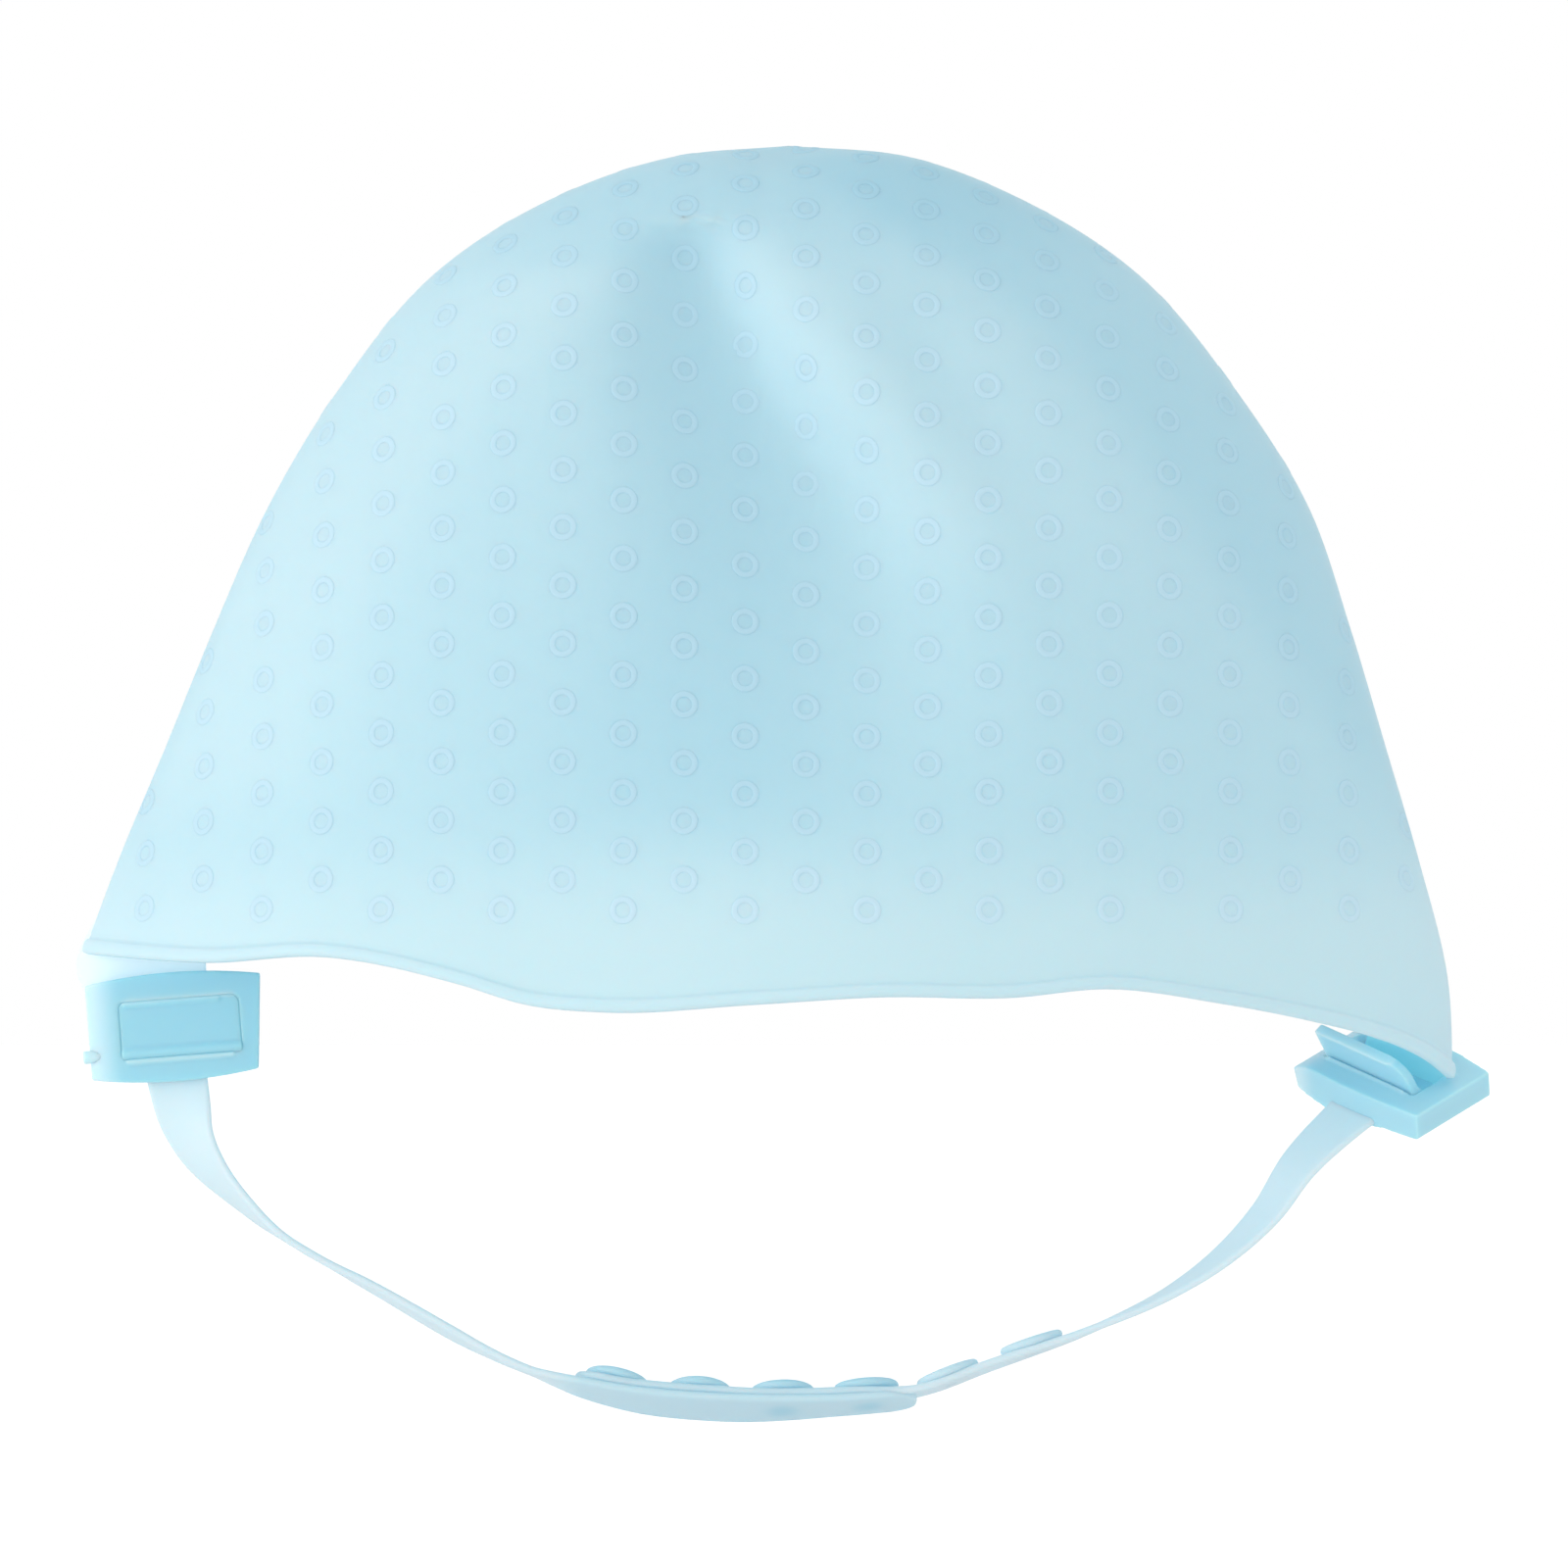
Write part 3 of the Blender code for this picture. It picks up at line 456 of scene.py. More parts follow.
def build_cap(material):
    """Dome with its rounded bead rim, as one closed wall."""
    bead = BEAD_HEIGHT / RIM_TO_CROWN
    bead_rise = bead * (1 - np.cos(np.linspace(0, np.pi, BEAD_ROWS))) / 2
    rise = np.concatenate([bead_rise, [1.25 * bead, 1.6 * bead], np.linspace(*WALL_RISE, UP)])
    angle = np.arange(AROUND) * 2 * np.pi / AROUND
    grid_angle, grid_rise = np.meshgrid(angle, rise)
    skin, normal = dome(grid_angle, grid_rise), dome_normal(grid_angle, grid_rise)
    proud = np.zeros(len(rise))
    across = bead_rise / bead * 2 - 1
    proud[:BEAD_ROWS] = BEAD_PROUD * np.sqrt(np.clip(1 - across**2, 0, 1))
    proud[BEAD_ROWS] = -BEAD_CREASE
    outer = skin + normal * proud[:, None, None]
    inner = skin - normal * (WALL + 0.5 * np.maximum(proud, 0))[:, None, None]
    bm = bmesh.new()
    shells = []
    for layer, top in ((outer, CROWN[2]), (inner, CROWN[2] - WALL)):
        rows = [[bm.verts.new(point) for point in row] for row in layer]
        grid_faces(bm, rows, closed=True)
        crown = bm.verts.new((CROWN[0], CROWN[1], top))
        for i in range(AROUND):
            bm.faces.new((rows[-1][i], rows[-1][(i + 1) % AROUND], crown))
        shells.append(rows)
    grid_faces(bm, [shells[0][0], shells[1][0]], closed=True)
    cap = mesh_object(bm, "cap_dome", material)
    paint(cap, dome_depth_and_shade(vertex_places(cap)))
    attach(cap, "cap")
    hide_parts("cap_shell")


def ring_places():
    """Middles of the rings: straight columns that run from the front rim over to the back."""
    places = []
    fine = np.linspace(0.0, RING_HIGHEST_RISE, RING_LINE_STATIONS)
    first, last = RING_COLUMNS
    for k in range(int((last - first) / RING_COLUMN_PITCH) + 1):
        x = first + RING_COLUMN_PITCH * k
        outline = RIGHT_OUTLINE if x > CROWN[0] else LEFT_OUTLINE
        side = outline_at(outline, fine)[0]
        share = (x - CROWN[0]) / (side - CROWN[0])
        inside = (share >= 0) & (share < 0.999)
        if inside.sum() < 20:
            continue
        turn = np.arccos(share[inside])
        turn = turn if x > CROWN[0] else np.pi - turn
        angle = np.concatenate([-turn, turn[::-1]])
        rise = np.concatenate([fine[inside], fine[inside][::-1]])
        line = dome(angle, rise)
        length = chords(line)
        lowest = RING_LOWEST + (RING_ROW_PITCH / 2 if k % 2 else 0.0)
        start = length[np.argmax(line[:, 2] >= lowest)]
        for s in np.arange(start, length[-1], RING_ROW_PITCH):
            i = int(np.searchsorted(length, s))
            if i >= len(line) or line[i, 2] < RING_LOWEST - 2:
                continue
            places.append((angle[i], rise[i]))
    return np.array(places)


def build_rings(material):
    """Raised rings around the hook holes, lying on the skin and sunk a little into it."""
    angle, rise = ring_places().T
    normals = dome_normal(angle, rise)
    level = np.where(np.abs(normals[:, 2:]) < 0.9, [[0.0, 0.0, 1.0]], [[0.0, 1.0, 0.0]])
    right = np.cross(level, normals)
    right /= np.linalg.norm(right, axis=1, keepdims=True)
    up = np.cross(normals, right)
    step = SLOPE_STEP
    around = (dome(angle + step, rise) - dome(angle - step, rise)) / (2 * step)
    climb = (dome(angle, rise + step) - dome(angle, rise - step)) / (2 * step)

    section = [(-RING_HALF_WIDTH, -RING_SUNK), (RING_HALF_WIDTH, -RING_SUNK)]
    section += [(RING_HALF_WIDTH * math.cos(t), RING_HEIGHT * math.sin(t))
                for t in np.linspace(0, math.pi, 6)]
    out, above = np.array(section).T
    turn = np.arange(RING_SIDES) * 2 * math.pi / RING_SIDES
    ways = (right[:, None] * np.cos(turn)[:, None] + up[:, None] * np.sin(turn)[:, None])
    offset = ways[:, :, None] * (RING_RADIUS + out)[:, None]

    def dot(a, b):
        return np.sum(a * b, axis=-1)

    wide, tall, skew = [dot(*pair)[:, None, None] for pair in
                        ((around, around), (climb, climb), (around, climb))]
    aside, ahead = [dot(offset, way[:, None, None]) for way in (around, climb)]
    scale = wide * tall - skew**2
    angle = angle[:, None, None] + (aside * tall - ahead * skew) / scale
    rise = np.clip(rise[:, None, None] + (ahead * wide - aside * skew) / scale, 0.004, 0.9985)
    points = dome(angle, rise) + dome_normal(angle, rise) * above[:, None]

    bm = bmesh.new()
    for ring in points:
        loops = [[bm.verts.new(point) for point in loop] for loop in ring]
        loops.append(loops[0])
        grid_faces(bm, loops, closed=True)
    rings = mesh_object(bm, "cap_rings", material)
    places = vertex_places(rings)
    crown = ease((places[:, 2] - 200.0) / 24.0)
    paint(rings, dome_depth_and_shade(places) + RING_CROWN_DEPTH * crown - RING_PALER)
    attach(rings, "cap")


# ================================================================ straps
def ribbon_frames(path, twist, inner_side, clip_across):
    """Width and thickness directions at each station of a twisting ribbon."""
    tangent = np.gradient(path, axis=0)
    tangent /= np.linalg.norm(tangent, axis=1, keepdims=True)
    across = inner_side * np.column_stack([-tangent[:, 2], np.zeros(len(path)), tangent[:, 0]])
    across /= np.linalg.norm(across, axis=1, keepdims=True)
    ahead = np.tile([0.0, -1.0, 0.0], (len(path), 1))
    angle = np.radians(twist)[:, None]
    width = np.cos(angle) * across + np.sin(angle) * ahead
    lead = ease((np.linspace(0, 1, len(path)) - CLIP_SHARE) / CLIP_SHARE)[:, None]
    width = width * lead + np.array(clip_across) * (1 - lead)
    width -= tangent * np.sum(width * tangent, axis=1, keepdims=True)
    width /= np.linalg.norm(width, axis=1, keepdims=True)
    return width, np.cross(width, tangent) * inner_side


def clip_axes(joint):
    """Direction and place, in millimetres, of the hinge of a clip's lever."""
    return np.array(JOINTS[joint]["axis"]), np.array(JOINTS[joint]["pos_m"]) / MM


def left_line(count=320):
    """Path, width and inward directions of the holed strap, from the left clip to its free end."""
    path = smooth_path(LEFT_PATH, count)
    twist = eased_line(LEFT_TWIST, np.linspace(0, 1, count))
    width, inward = ribbon_frames(path, twist, 1, clip_axes("left_lever_flip")[0])
    return path, width, inward


def clip_frame(joint, back):
    """Middle and axes (along, back, up) of a clip whose lever turns on the joint."""
    along, hinge = clip_axes(joint)
    up = np.cross(along, back)
    return hinge - back * HINGE[0] - up * HINGE[1], along, back, up


def left_clip_frame():
    return clip_frame("left_lever_flip", np.array([0.0, 1.0, 0.0]))


def right_clip_frame():
    mounts = {mount["name"]: mount for mount in frame["record"]["mounts"]}
    return clip_frame("right_lever_flip", np.array(mounts["right_clip_back"]["axis"]))


def right_line(count=340):
    """The same of the studded strap, from the right clip to its end behind the holed strap."""
    outer, _, inward = left_line()
    overlap = []
    for x in np.linspace(STUD_STRAP_END, LEFT_PATH[-1][0], 8):
        k = int(np.argmin(np.abs(outer[:, 0] - x)))
        overlap.append(outer[k] + inward[k] * (STRAP_THICK + CLOSURE_GAP))
    middle, along, back, up = right_clip_frame()
    into = [middle + back * v + up * h
            for v, h in ((EXIT_BACK, -CLIP_HEIGHT / 2 - 3.0), (TUNNEL_MIDDLE, 1.5))]
    path = smooth_path(np.vstack([overlap, RIGHT_PATH, into])[::-1], count)
    twist = eased_line(RIGHT_TWIST, np.linspace(0, 1, count))
    width, inward = ribbon_frames(path, twist, -1, along)
    return path, width, inward


def ribbon(name, line, material):
    """A strap with fully rounded edges and a rounded free end."""
    path, width, inward = line
    half, thick = STRAP_WIDTH / 2, STRAP_THICK / 2
    round_edge = [(half - thick + thick * math.cos(t), thick * math.sin(t))
                  for t in np.linspace(-math.pi / 2, math.pi / 2, 7)]
    flat = list(np.linspace(half - thick, -(half - thick), 7)[1:-1])
    section = (round_edge + [(u, thick) for u in flat]
               + [(-u, -v) for u, v in round_edge] + [(-u, -thick) for u in flat])
    left_over = chords(path)[-1] - chords(path)
    bm = bmesh.new()
    rows = []
    for k in range(len(path)):
        narrow = 1.0
        thin = 1.0
        if left_over[k] < half:
            narrow = max(0.05, math.sqrt(max(0.0, 1 - (1 - left_over[k] / half)**2)))
        if left_over[k] < thick:
            thin = max(0.3, math.sqrt(max(0.0, 1 - (1 - left_over[k] / thick)**2)))
        rows.append([bm.verts.new(path[k] + width[k] * u * narrow + inward[k] * v * thin)
                     for u, v in section])
    grid_faces(bm, rows, closed=True)
    bm.faces.new(rows[0])
    bm.faces.new(rows[-1][::-1])
    return mesh_object(bm, name, material)


def densify_end(line, extra=14):
    """More stations over the last few millimetres, so that the free end is round."""
    path, width, inward = line
    index = np.concatenate([np.arange(len(path) - 12),
                            np.linspace(len(path) - 12, len(path) - 1, extra + 12)])
    low = np.floor(index).astype(int)
    high = np.minimum(low + 1, len(path) - 1)
    share = (index - low)[:, None]
    return [part[low] * (1 - share) + part[high] * share for part in (path, width, inward)]


def build_straps(material):
    """The holed strap, whose tail peels away, and the studded strap."""
    outer, inner = left_line(), right_line()
    left = ribbon("chin_strap_holed", densify_end(outer), material)
    places = vertex_places(left)
    doubled = ease((places[:, 0] - DOUBLED[0]) / DOUBLED_EASE)
    spots = sum(np.exp(-(np.linalg.norm(places - np.array(middle), axis=1) / SPOT_RADIUS)**4)
                for middle, _ in stud_places()[SPOTTED_STUDS])
    paint(left, STRAP_DEPTH + HOLED_DOUBLED_DEPTH * doubled + SPOT_DEPTH * spots)
    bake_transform(left)
    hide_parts("hole_strap", "hole_strap_tail")
    right = ribbon("chin_strap_studded", densify_end(inner), material)
    places = vertex_places(right)
    doubled = 1 - ease((places[:, 0] - DOUBLED[1]) / DOUBLED_EASE)
    paint(right, STRAP_DEPTH + STUDDED_DOUBLED_DEPTH * doubled)
    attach(right, "strap_loop")
    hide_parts("stud_strap")


# ================================================================ studs
def stud_places():
    """Middle and outward direction of each stud along the stud half of the strap."""
    path, _, inward = right_line(900)
    places = []
    for k in range(STUD_COUNT):
        i = int(np.argmin(np.abs(path[:, 0] - STUD_FIRST - STUD_PITCH * k)))
        out = inward[i] if inward[i][2] < 0 else -inward[i]
        places.append((Vector(path[i]), Vector(out)))
    return places


def build_studs(material):
    """Snap studs: a soft disc on the inner face, a neck, and a low head on the outer face."""
    face = STRAP_THICK / 2
    low = -(face + 0.05)
    top = low - STUD_DISC_THICK
    edge = [(STUD_DISC - STUD_EDGE + STUD_EDGE * math.cos(t),
             top + STUD_EDGE + STUD_EDGE * math.sin(t))
            for t in np.linspace(-math.pi / 2, math.pi / 2, 9)]
    profile = ([(0.0, top + 0.12), (2.6, top + 0.06)] + edge
               + [(STUD_NECK + STUD_FILLET, low), (STUD_NECK, low + STUD_FILLET),
                  (STUD_NECK, face - 0.1), (STUD_NECK - STUD_FILLET, face + 0.04),
                  (0.0, face + 0.08)])
    for number, (middle, out) in enumerate(stud_places(), start=1):
        bm = lathe(profile, STUD_SIDES, lambda x, y, z: (x, y, z))
        bmesh.ops.rotate(bm, matrix=out.to_track_quat("Z", "Y").to_matrix(), verts=bm.verts)
        bmesh.ops.translate(bm, vec=middle, verts=bm.verts)
        stud = mesh_object(bm, f"snap_button_{number}", material)
        paint_evenly(stud, STUD_DEPTHS[0 if number <= STUDS_COVERED else 1])
        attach(stud, "strap_loop")
        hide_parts(f"snap_stud_{number}")


# ================================================================ clips
def prism(outline, low, high, place):
    """Extrude a closed outline between two offsets; place turns (u, v, offset) into a point."""
    bm = bmesh.new()
    bottom = [bm.verts.new(place(u, v, low)) for u, v in outline]
    top = [bm.verts.new(place(u, v, high)) for u, v in outline]
    bm.faces.new(bottom)
    bm.faces.new(top[::-1])
    for i in range(len(outline)):
        j = (i + 1) % len(outline)
        bm.faces.new((bottom[i], bottom[j], top[j], top[i]))
    return bm


def box(low, high):
    """A closed box between two corners."""
    corners = ((low[0], low[2]), (high[0], low[2]), (high[0], high[2]), (low[0], high[2]))
    return prism(corners, low[1], high[1], lambda u, v, w: (u, w, v))


def rod(radius, start, end, sides=40):
    """A closed rod along the clip's long side."""
    circle = [(HINGE[0] + radius * math.cos(t), HINGE[1] + radius * math.sin(t))
              for t in np.arange(sides) * 2 * math.pi / sides]
    return prism(circle, start, end, lambda u, v, w: (w, u, v))


def moulded(name, steps, place, material):
    """Join and cut shapes, then melt their edges together as a moulding does."""
    base = None
    for number, (operation, bm) in enumerate(steps):
        piece = mesh_object(bm, f"{name}_shape_{number}", material)
        if base is None:
            base = piece
            continue
        cut = base.modifiers.new("shape", "BOOLEAN")
        cut.operation = operation
        cut.solver = "EXACT"
        cut.object = piece
        apply_modifiers(base)
        bpy.data.objects.remove(piece)
    remesh = base.modifiers.new("melt", "REMESH")
    remesh.mode = "VOXEL"
    remesh.voxel_size = CLIP_VOXEL * MM
    remesh.use_smooth_shade = True
    smooth = base.modifiers.new("soften", "SMOOTH")
    smooth.factor = 0.5
    smooth.iterations = CLIP_SMOOTHING
    apply_modifiers(base)
    base.name = name
    base.data.name = name
    base.data.transform(place)
    base.data.materials.clear()
    base.data.materials.append(material)
    base.data.shade_smooth()
    return base


def lever_outline(clip, grow):
    """The lever seen from the front: square at one end, one round corner at the other."""
    half, top = LEVER_HALF + grow, LEVER_TOP + clip.higher + grow
    low = HINGE[1] - BARREL_RADIUS + clip.higher - grow
    outline = [(-half, low), (half, low)]
    outline += [(half - clip.corner * (1 - math.cos(t)), top - clip.corner * (1 - math.sin(t)))
                for t in np.linspace(0, math.pi / 2, 10)]
    outline += [(LEVER_SMALL_CORNER - half, top), (-half, top - LEVER_SMALL_CORNER)]
    return [(u + clip.aside, h) for u, h in outline]


def facing_front(u, v, w):
    """Place outline points given as (u, h), extruded from front to back."""
    return u, w, v


def clip_body(name, clip, place, material):
    """Barrel-shaped frame, one end rounded, with a window for the lever.

    The strap runs up into its lower side.
    """
    half, tall, slant = CLIP_WIDTH / 2, CLIP_HEIGHT / 2, clip.slant
    plan = []
    for u in np.linspace(-half, half + slant, 40):
        turned = max(0.0, (-u - half + CLIP_END_ROUND) / CLIP_END_ROUND)
        plan.append((u, CLIP_FRONT + CLIP_FRONT_BOW * (u / half)**2
                     + CLIP_END_DROP * turned**2.2))
    plan += [(half + slant, CLIP_BACK - 0.6)]
    plan += [(u, CLIP_BACK + CLIP_BACK_SWELL * max(0.0, 1 - ((u + 4.0) / 11.5)**2))
             for u in np.linspace(half - 0.6, 0.9 - half, 24)]
    top_end, low_end = (half + slant, half - slant) if slant else (half + 1, half + 1)
    side = [(u, tall - CLIP_BULGE * (u / half)**2) for u in np.linspace(-half - 1, top_end, 25)]
    side += [(u, -tall - clip.longer + CLIP_BULGE * (u / half)**2)
             for u in np.linspace(low_end, -half - 1, 25)]
    low = HINGE[1] - BARREL_RADIUS + clip.higher
    groove = box((-LEVER_HALF + 0.4 + clip.aside, CLIP_FRONT - 2, low - 0.4),
                 (LEVER_HALF - 1.4 + clip.aside, GROOVE_FLOOR, low + 0.5))
    lip = box((-LEVER_HALF + 1.0 + clip.aside, CLIP_FRONT - 0.3, low - 1.25),
              (LEVER_HALF - 1.6 + clip.aside, CLIP_FRONT + 0.6, low - 0.55))
    blank = prism(plan, -tall - clip.longer - 1, tall + 1, lambda u, v, w: (u, v, w))
    front_view = prism(side, CLIP_FRONT - 2, CLIP_BACK + 4, facing_front)
    window = prism(lever_outline(clip, clip.gap), CLIP_FRONT - 2, WINDOW_FLOOR, facing_front)
    steps = [("", blank), ("INTERSECT", front_view), ("DIFFERENCE", window),
             ("UNION", lip), ("DIFFERENCE", groove)]
    return moulded(name, steps, place, material)


def lever_turn(opened):
    """The lever's swing about its hinge, in the clip's own axes."""
    centre = Vector((0, HINGE[0], HINGE[1])) * MM
    turn = Matrix.Rotation(math.radians(opened), 4, "X")
    return Matrix.Translation(centre) @ turn @ Matrix.Translation(-centre)


def clip_flap(name, clip, place, material):
    """The lever that clamps the strap: a plate on a barrel, with a low grip ridge."""
    front, top = HINGE[0] - LEVER_THICK / 2, LEVER_TOP + clip.higher
    plate = prism(lever_outline(clip, 0.0), front, HINGE[0] + LEVER_THICK / 2, facing_front)
    grip = box((1.0 - LEVER_HALF + clip.aside, front - 0.35, top - 1.0),
               (LEVER_HALF - 3.6 + clip.aside, front + 0.3, top - 0.15))
    barrel = rod(BARREL_RADIUS, clip.aside - LEVER_HALF, clip.aside + LEVER_HALF)
    return moulded(name, [("", plate), ("UNION", barrel), ("UNION", grip)], place, material)


def clip_pin(name, clip, place, material):
    """The hinge pin: its knob at the clip's round end, or the pin hidden inside the lever."""
    if clip.head:
        start, end = -CLIP_WIDTH / 2 - clip.head, 2.2 - CLIP_WIDTH / 2
        radius, depth = KNOB_RADIUS, KNOB_BACK
    else:
        start, end, radius, depth = -LEVER_HALF, LEVER_HALF, PIN_RADIUS, 0.0
    profile = [(0.0, start)]
    profile += [(radius * (0.7 + 0.3 * math.sin(t)), start + radius * 0.3 * (1 - math.cos(t)))
                for t in np.linspace(0.0, math.pi / 2, 6)]
    profile += [(radius, end), (0.0, end)]
    bm = lathe(profile, PIN_SIDES,
               lambda x, y, z: (z, HINGE[0] + depth + x, HINGE[1] + y))
    pin = mesh_object(bm, name, material, sharp_degrees=50)
    pin.data.transform(place)
    return pin


def axes_matrix(middle, along, back, up):
    """From a clip's own axes in metres to the frame."""
    turn = Matrix((tuple(along), tuple(back), tuple(up))).transposed().to_4x4()
    return Matrix.Translation(Vector(middle) * MM) @ turn


def clip_depth(places, clip, flap):
    """Colour depth on a clip, with painted highlights on its round end and along its lit edges."""
    u, v, h = places.T
    depth = clip.deep - ROUND_END_HIGHLIGHT * ease((-u - 9.0) / 6.0)
    if flap:
        edge = ease((h - LEVER_TOP - clip.higher + EDGE_WIDTH) / (0.6 * EDGE_WIDTH))
    else:
        # Painted highlights on the lip under the lever's window and along the window's top edge.
        lip = HINGE[1] - 2.3 + clip.higher
        inside = ease((LEVER_HALF - np.abs(u - clip.aside)) / 2.0) * ease((-v - 1.5) / 1.0)
        edge = inside * np.exp(-((h - lip) / (0.7 * EDGE_WIDTH))**2)
        edge += inside * np.exp(-((h - LEVER_TOP - clip.higher) / EDGE_WIDTH)**2)
    return depth - EDGE_HIGHLIGHT * edge


def build_clips(material):
    """Body, lever and pin of each clip; the right lever stands open."""
    for side, clip, axes in (("left", LEFT_CLIP, left_clip_frame()),
                             ("right", RIGHT_CLIP, right_clip_frame())):
        place = axes_matrix(*axes)
        swung = place @ lever_turn(clip.opened)
        body = clip_body(f"{side}_clip_body", clip, place, material)
        flap = clip_flap(f"{side}_clip_flap", clip, swung, material)
        pin = clip_pin(f"{side}_hinge_pin", clip, place, material)
        for obj, own, carrier, node_name, slot_name in (
                (body, place, "strap_loop", "clip_frame", "clip_plastic"),
                (flap, swung, f"{side}_lever", "clip_lever", "lever_plastic"),
                (pin, place, "strap_loop", "clip_pin", "pin_plastic")):
            inward = own.inverted()
            local = np.array([inward @ (Vector(point) * MM) for point in vertex_places(obj)]) / MM
            paint(obj, clip_depth(local, clip, obj is flap))
            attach(obj, carrier)
            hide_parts(f"{side}_{node_name}")


# ================================================================ ears
def sheet(name, rows, thick, material):
    """A closed sheet of even thickness through rows of points, rounded along its edges."""
    rows = np.array(rows)
    across = np.gradient(rows, axis=1)
    down = np.gradient(rows, axis=0)
    normal = np.cross(across, down)
    normal /= np.linalg.norm(normal, axis=2, keepdims=True)
    count = rows.shape[1]
    from_edge = np.minimum(np.arange(count), count - 1 - np.arange(count))
    share = np.clip((from_edge + 0.4) / 3.4, 0, 1)
    half = (thick / 2 * np.sqrt(1 - (1 - share)**2))[None, :, None]
    bm = bmesh.new()
    loops = []
    for front, back in zip(rows + normal * half, rows - normal * half):
        loops.append([bm.verts.new(p) for p in front] + [bm.verts.new(p) for p in back[::-1]])
    grid_faces(bm, loops, closed=True)
    bm.faces.new(loops[0])
    bm.faces.new(loops[-1][::-1])
    return mesh_object(bm, name, material)


def build_left_ear(material):
    """The cap's left corner runs down behind the clip's outer end as a light bulging sheet."""
    spread = (1 - np.cos(np.linspace(0, math.pi, EAR_STATIONS))) / 2
    rows = []
    for z in np.linspace(*LEFT_EAR_HEIGHTS, EAR_STATIONS):
        start, end = smooth_line(LEFT_EAR_OUTER, z), smooth_line(LEFT_EAR_INNER, z)
        xs = start + (end - start) * spread
        lean = 1.5 * ease((z - 84.0) / 9.0)
        ys = 0.95 + 3.6 * np.clip((-121.5 - xs) / 8.4, 0, 1)**2 + lean
        rows.append(np.stack([xs, ys, np.full_like(xs, z)], axis=-1))
    ear = sheet("left_ear", rows, LEFT_EAR_THICK, material)
    # Kept pale as painted light: the ear hangs in the cap's shade.
    paint_evenly(ear, LEFT_EAR_DEPTH)
    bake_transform(ear)


def build_right_ear(material):
    """The cap's right corner: a tongue that turns down into the right clip's window."""
    middle, along, back, up = right_clip_frame()
    angles = np.linspace(*RIGHT_EAR_ANGLES, EAR_STATIONS)
    rise = np.full_like(angles, RIGHT_EAR_RISE)
    top = dome(angles, rise) - dome_normal(angles, rise) * (WALL * 0.7)
    low = np.array([middle + along * u + back * 0.3 + up * 2.6
                    for u in np.linspace(-RIGHT_EAR_HALF, RIGHT_EAR_HALF, EAR_STATIONS)])
    rows = [top * (1 - share) + low * share for share in np.linspace(0, 1, 24)]
    ear = sheet("right_ear", rows, RIGHT_EAR_THICK, material)
    # Painted shade over the whole tongue.
    paint_evenly(ear, RIGHT_EAR_SHADE)
    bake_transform(ear)


# ================================================================ materials
def node(tree, kind, **inputs):
    """A new shader node with some of its inputs set."""
    made = tree.nodes.new(kind)
    for name, value in inputs.items():
        made.inputs[name].default_value = value
    return made


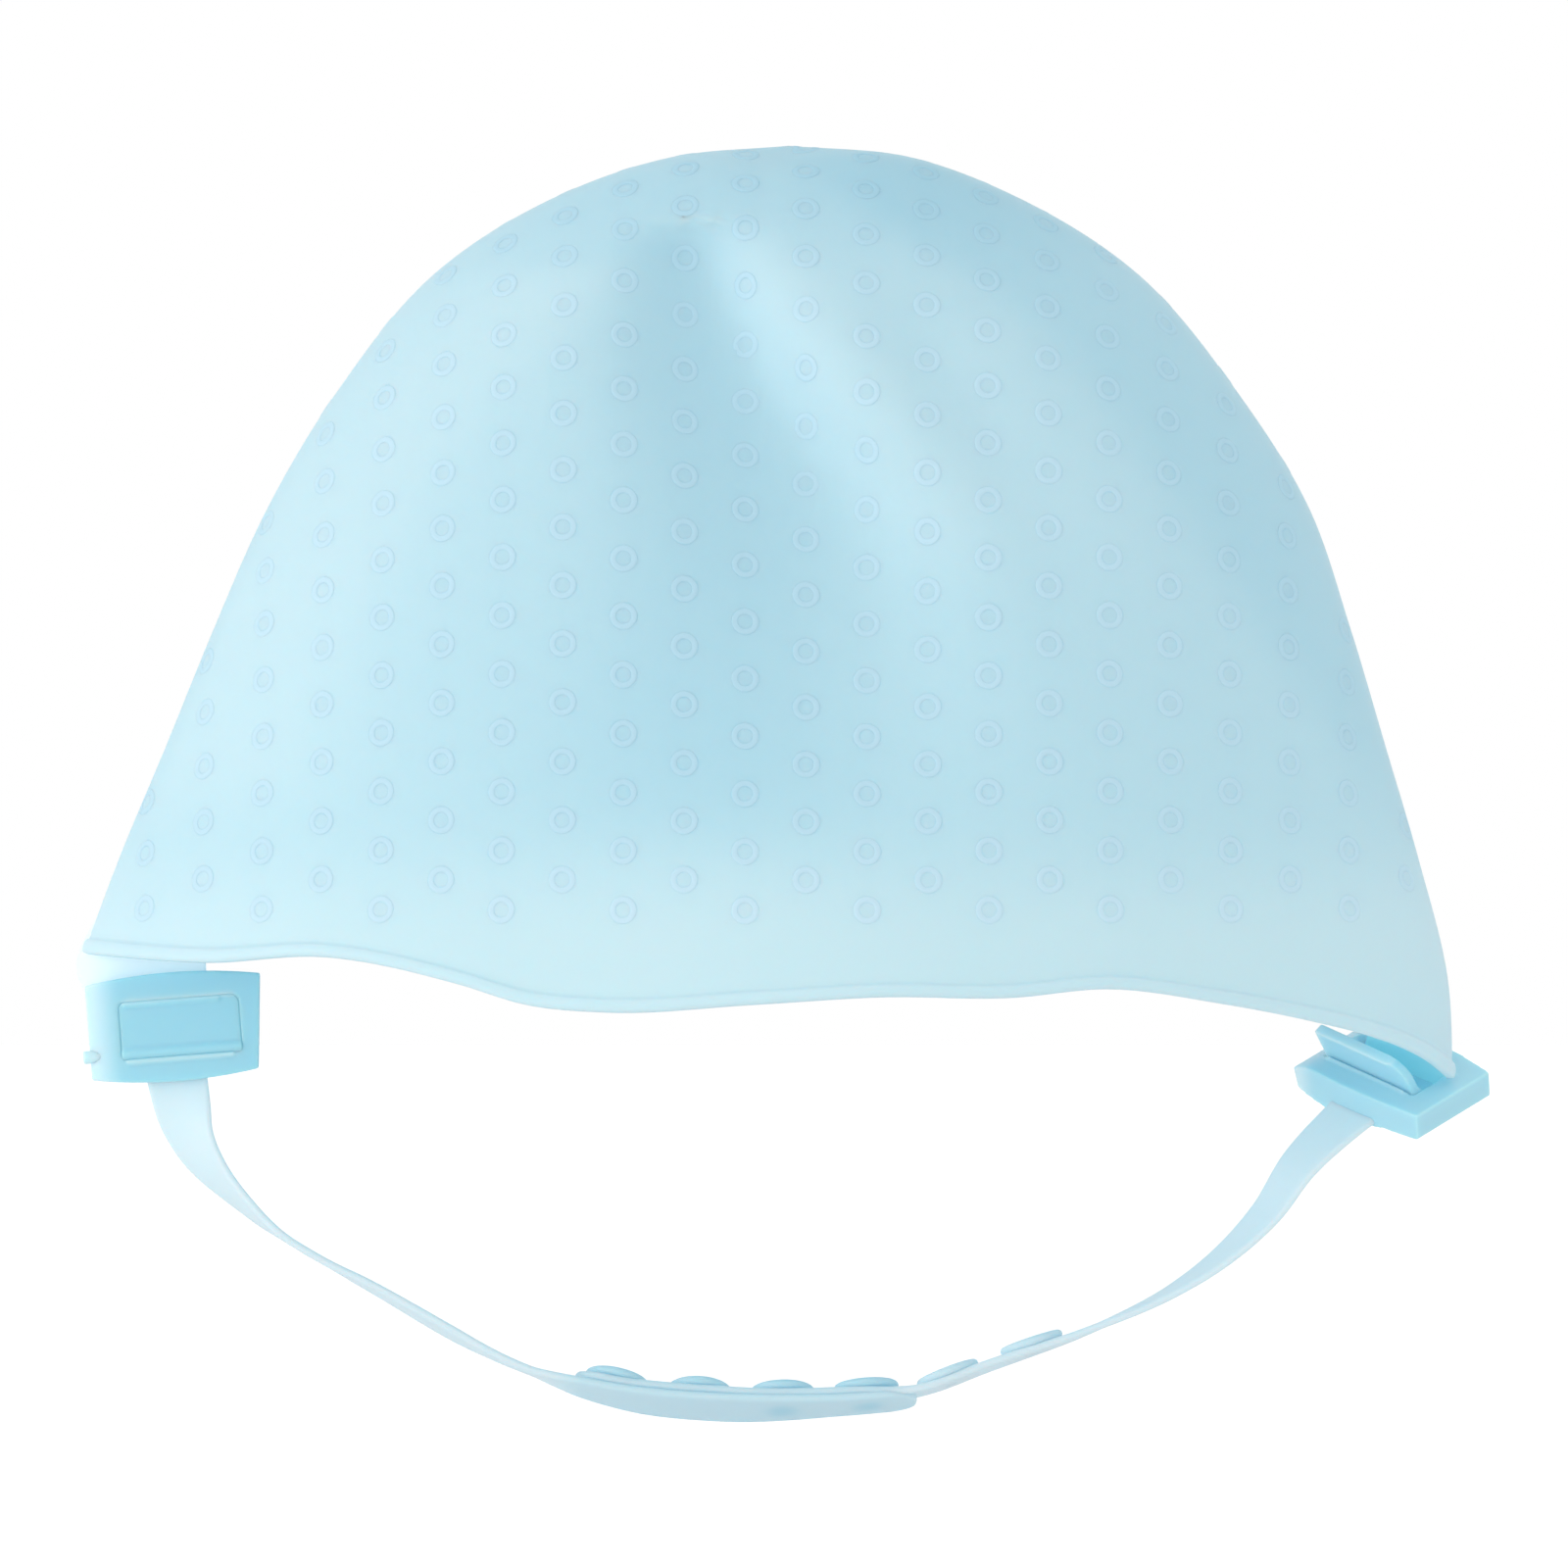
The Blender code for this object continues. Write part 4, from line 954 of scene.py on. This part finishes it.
def soft_plastic(name, pale, deep, roughness, thin, milky, glow, grain_size=900.0,
                 grain_height=0.05):
    """Milky silicone or plastic with a dusty fine grain, pale to deep by the depth attribute
    (painted light and shade, and doubled layers) and deeper where seen edge-on.

    thin is the share of light that passes through, milky the share that spreads inside, and
    glow a little light of its own, as if from the pale studio behind it.
    """
    mat = bpy.data.materials.new(name)
    mat.use_nodes = True
    tree = mat.node_tree
    link = tree.links.new
    shader = tree.nodes["Principled BSDF"]
    coords = tree.nodes.new("ShaderNodeTexCoord")
    depth = tree.nodes.new("ShaderNodeAttribute")
    depth.attribute_name = "depth"
    cloud = node(tree, "ShaderNodeTexNoise", Scale=14.0, Detail=3.0)
    grain = node(tree, "ShaderNodeTexNoise", Scale=grain_size, Detail=2.0)
    facing = node(tree, "ShaderNodeLayerWeight", Blend=0.4)
    for texture in (cloud, grain):
        link(coords.outputs["Object"], texture.inputs["Vector"])

    mottled = node(tree, "ShaderNodeMath")
    mottled.operation = "MULTIPLY_ADD"
    mottled.inputs[1].default_value = 0.10
    link(cloud.outputs["Fac"], mottled.inputs[0])
    link(depth.outputs["Fac"], mottled.inputs[2])
    amount = node(tree, "ShaderNodeMath")
    amount.operation = "MULTIPLY_ADD"
    amount.inputs[1].default_value = 0.12
    link(facing.outputs["Facing"], amount.inputs[0])
    link(mottled.outputs[0], amount.inputs[2])
    mix = tree.nodes.new("ShaderNodeMix")
    mix.data_type = "RGBA"
    mix.inputs["A"].default_value = (*pale, 1)
    mix.inputs["B"].default_value = (*deep, 1)
    link(amount.outputs[0], mix.inputs["Factor"])
    colour = next(out for out in mix.outputs if out.type == "RGBA")
    link(colour, shader.inputs["Base Color"])

    rough = node(tree, "ShaderNodeMapRange")
    rough.inputs["To Min"].default_value = roughness - 0.05
    rough.inputs["To Max"].default_value = roughness + 0.07
    link(grain.outputs["Fac"], rough.inputs["Value"])
    link(rough.outputs["Result"], shader.inputs["Roughness"])
    bump = node(tree, "ShaderNodeBump", Strength=0.3, Distance=grain_height * MM)
    link(grain.outputs["Fac"], bump.inputs["Height"])
    link(bump.outputs["Normal"], shader.inputs["Normal"])
    shader.inputs["IOR"].default_value = 1.41
    link(colour, shader.inputs["Emission Color"])
    shader.inputs["Emission Strength"].default_value = glow
    shader.inputs["Subsurface Weight"].default_value = milky
    shader.inputs["Subsurface Radius"].default_value = (0.6, 0.9, 1.0)
    shader.inputs["Subsurface Scale"].default_value = 2.0 * MM
    shader.inputs["Sheen Weight"].default_value = 0.12
    shader.inputs["Sheen Roughness"].default_value = 0.5

    through = tree.nodes.new("ShaderNodeBsdfTranslucent")
    link(colour, through.inputs["Color"])
    layered = node(tree, "ShaderNodeMixShader", Fac=thin)
    link(shader.outputs["BSDF"], layered.inputs[1])
    link(through.outputs["BSDF"], layered.inputs[2])
    link(layered.outputs["Shader"], tree.nodes["Material Output"].inputs["Surface"])
    return mat


# ================================================================ studio
def camera_only(tree, strength):
    """A value that only the camera sees."""
    path = tree.nodes.new("ShaderNodeLightPath")
    value = node(tree, "ShaderNodeMath")
    value.operation = "MULTIPLY"
    value.inputs[1].default_value = strength
    tree.links.new(path.outputs["Is Camera Ray"], value.inputs[0])
    return value.outputs[0]


def build_studio():
    """Pale floor and room, two soft lights and the camera in front of the cap."""
    stage = bpy.data.materials.new("pale_stage")
    stage.use_nodes = True
    shader = stage.node_tree.nodes["Principled BSDF"]
    shader.inputs["Base Color"].default_value = (0.93, 0.93, 0.93, 1)
    shader.inputs["Roughness"].default_value = 0.9
    shader.inputs["Emission Color"].default_value = (1, 1, 1, 1)
    stage.node_tree.links.new(camera_only(stage.node_tree, FLOOR_GLOW),
                              shader.inputs["Emission Strength"])
    bpy.ops.mesh.primitive_plane_add(size=FLOOR_SIZE, location=(0, 0, FLOOR_HEIGHT))
    floor = bpy.context.object
    floor.name = "stage_floor"
    floor.data.materials.append(stage)

    world = bpy.data.worlds.new("studio")
    bpy.context.scene.world = world
    world.use_nodes = True
    background = world.node_tree.nodes["Background"]
    background.inputs["Color"].default_value = (1, 1, 1, 1)
    strength = node(world.node_tree, "ShaderNodeMath")
    strength.operation = "ADD"
    strength.inputs[1].default_value = ROOM_LIGHT
    world.node_tree.links.new(camera_only(world.node_tree, 1.0 - ROOM_LIGHT), strength.inputs[0])
    world.node_tree.links.new(strength.outputs[0], background.inputs["Strength"])
    bpy.context.scene.view_settings.view_transform = "Standard"

    def soft_light(name, place, size, power):
        data = bpy.data.lights.new(name, "AREA")
        data.shape = "SQUARE"
        data.size = size
        data.energy = power
        lamp = bpy.data.objects.new(name, data)
        lamp.location = place
        aim = Vector((0, 0, 0.12)) - Vector(place)
        lamp.rotation_mode = "QUATERNION"
        lamp.rotation_quaternion = aim.to_track_quat("-Z", "Y")
        bpy.context.scene.collection.objects.link(lamp)

    soft_light("key", (-1.9, -0.7, 0.2), 0.8, KEY_POWER)
    soft_light("fill", (-0.5, -2.2, -0.02), 1.2, FILL_POWER)

    camera_data = bpy.data.cameras.new("camera")
    camera = bpy.data.objects.new("camera", camera_data)
    bpy.context.scene.collection.objects.link(camera)
    camera.location = (0.0, -VIEW_DISTANCE, VIEW_HEIGHT)
    camera.rotation_euler = (math.radians(90), 0, 0)
    camera_data.sensor_width = SENSOR_WIDTH
    camera_data.lens = SENSOR_WIDTH * VIEW_DISTANCE / VIEW_WIDTH
    camera_data.clip_end = 50.0
    bpy.context.scene.camera = camera


# ================================================================ assembly
def main():
    silicone = soft_plastic(
        "cap_silicone", pale=(0.70, 0.87, 0.94), deep=(0.36, 0.66, 0.78),
        roughness=0.52, thin=0.15, milky=1.0, glow=0.09)
    ring_silicone = soft_plastic(
        "ring_silicone", pale=(0.68, 0.85, 0.92), deep=(0.40, 0.69, 0.80),
        roughness=0.55, thin=0.3, milky=0.0, glow=0.2)
    # The ears' pale colour and strong glow are painted light that lifts the left ear out of the
    # cap's shade; the greener deep colour is the right tongue's painted shade.
    ear_silicone = soft_plastic(
        "ear_silicone", pale=(0.84, 0.89, 0.92), deep=(0.26, 0.70, 0.78),
        roughness=0.52, thin=0.3, milky=0.6, glow=0.33)
    strap_silicone = soft_plastic(
        "strap_silicone", pale=(0.77, 0.87, 0.92), deep=(0.38, 0.69, 0.81),
        roughness=0.5, thin=0.15, milky=1.0, glow=0.12)
    plastic = soft_plastic(
        "clip_plastic", pale=(0.72, 0.88, 0.94), deep=(0.17, 0.64, 0.79),
        roughness=0.45, thin=0.0, milky=1.0, glow=0.09, grain_size=1400.0, grain_height=0.03)
    build_cap(silicone)
    build_rings(ring_silicone)
    build_left_ear(ear_silicone)
    build_right_ear(ear_silicone)
    build_straps(strap_silicone)
    build_studs(strap_silicone)
    build_clips(plastic)
    build_studio()


main()
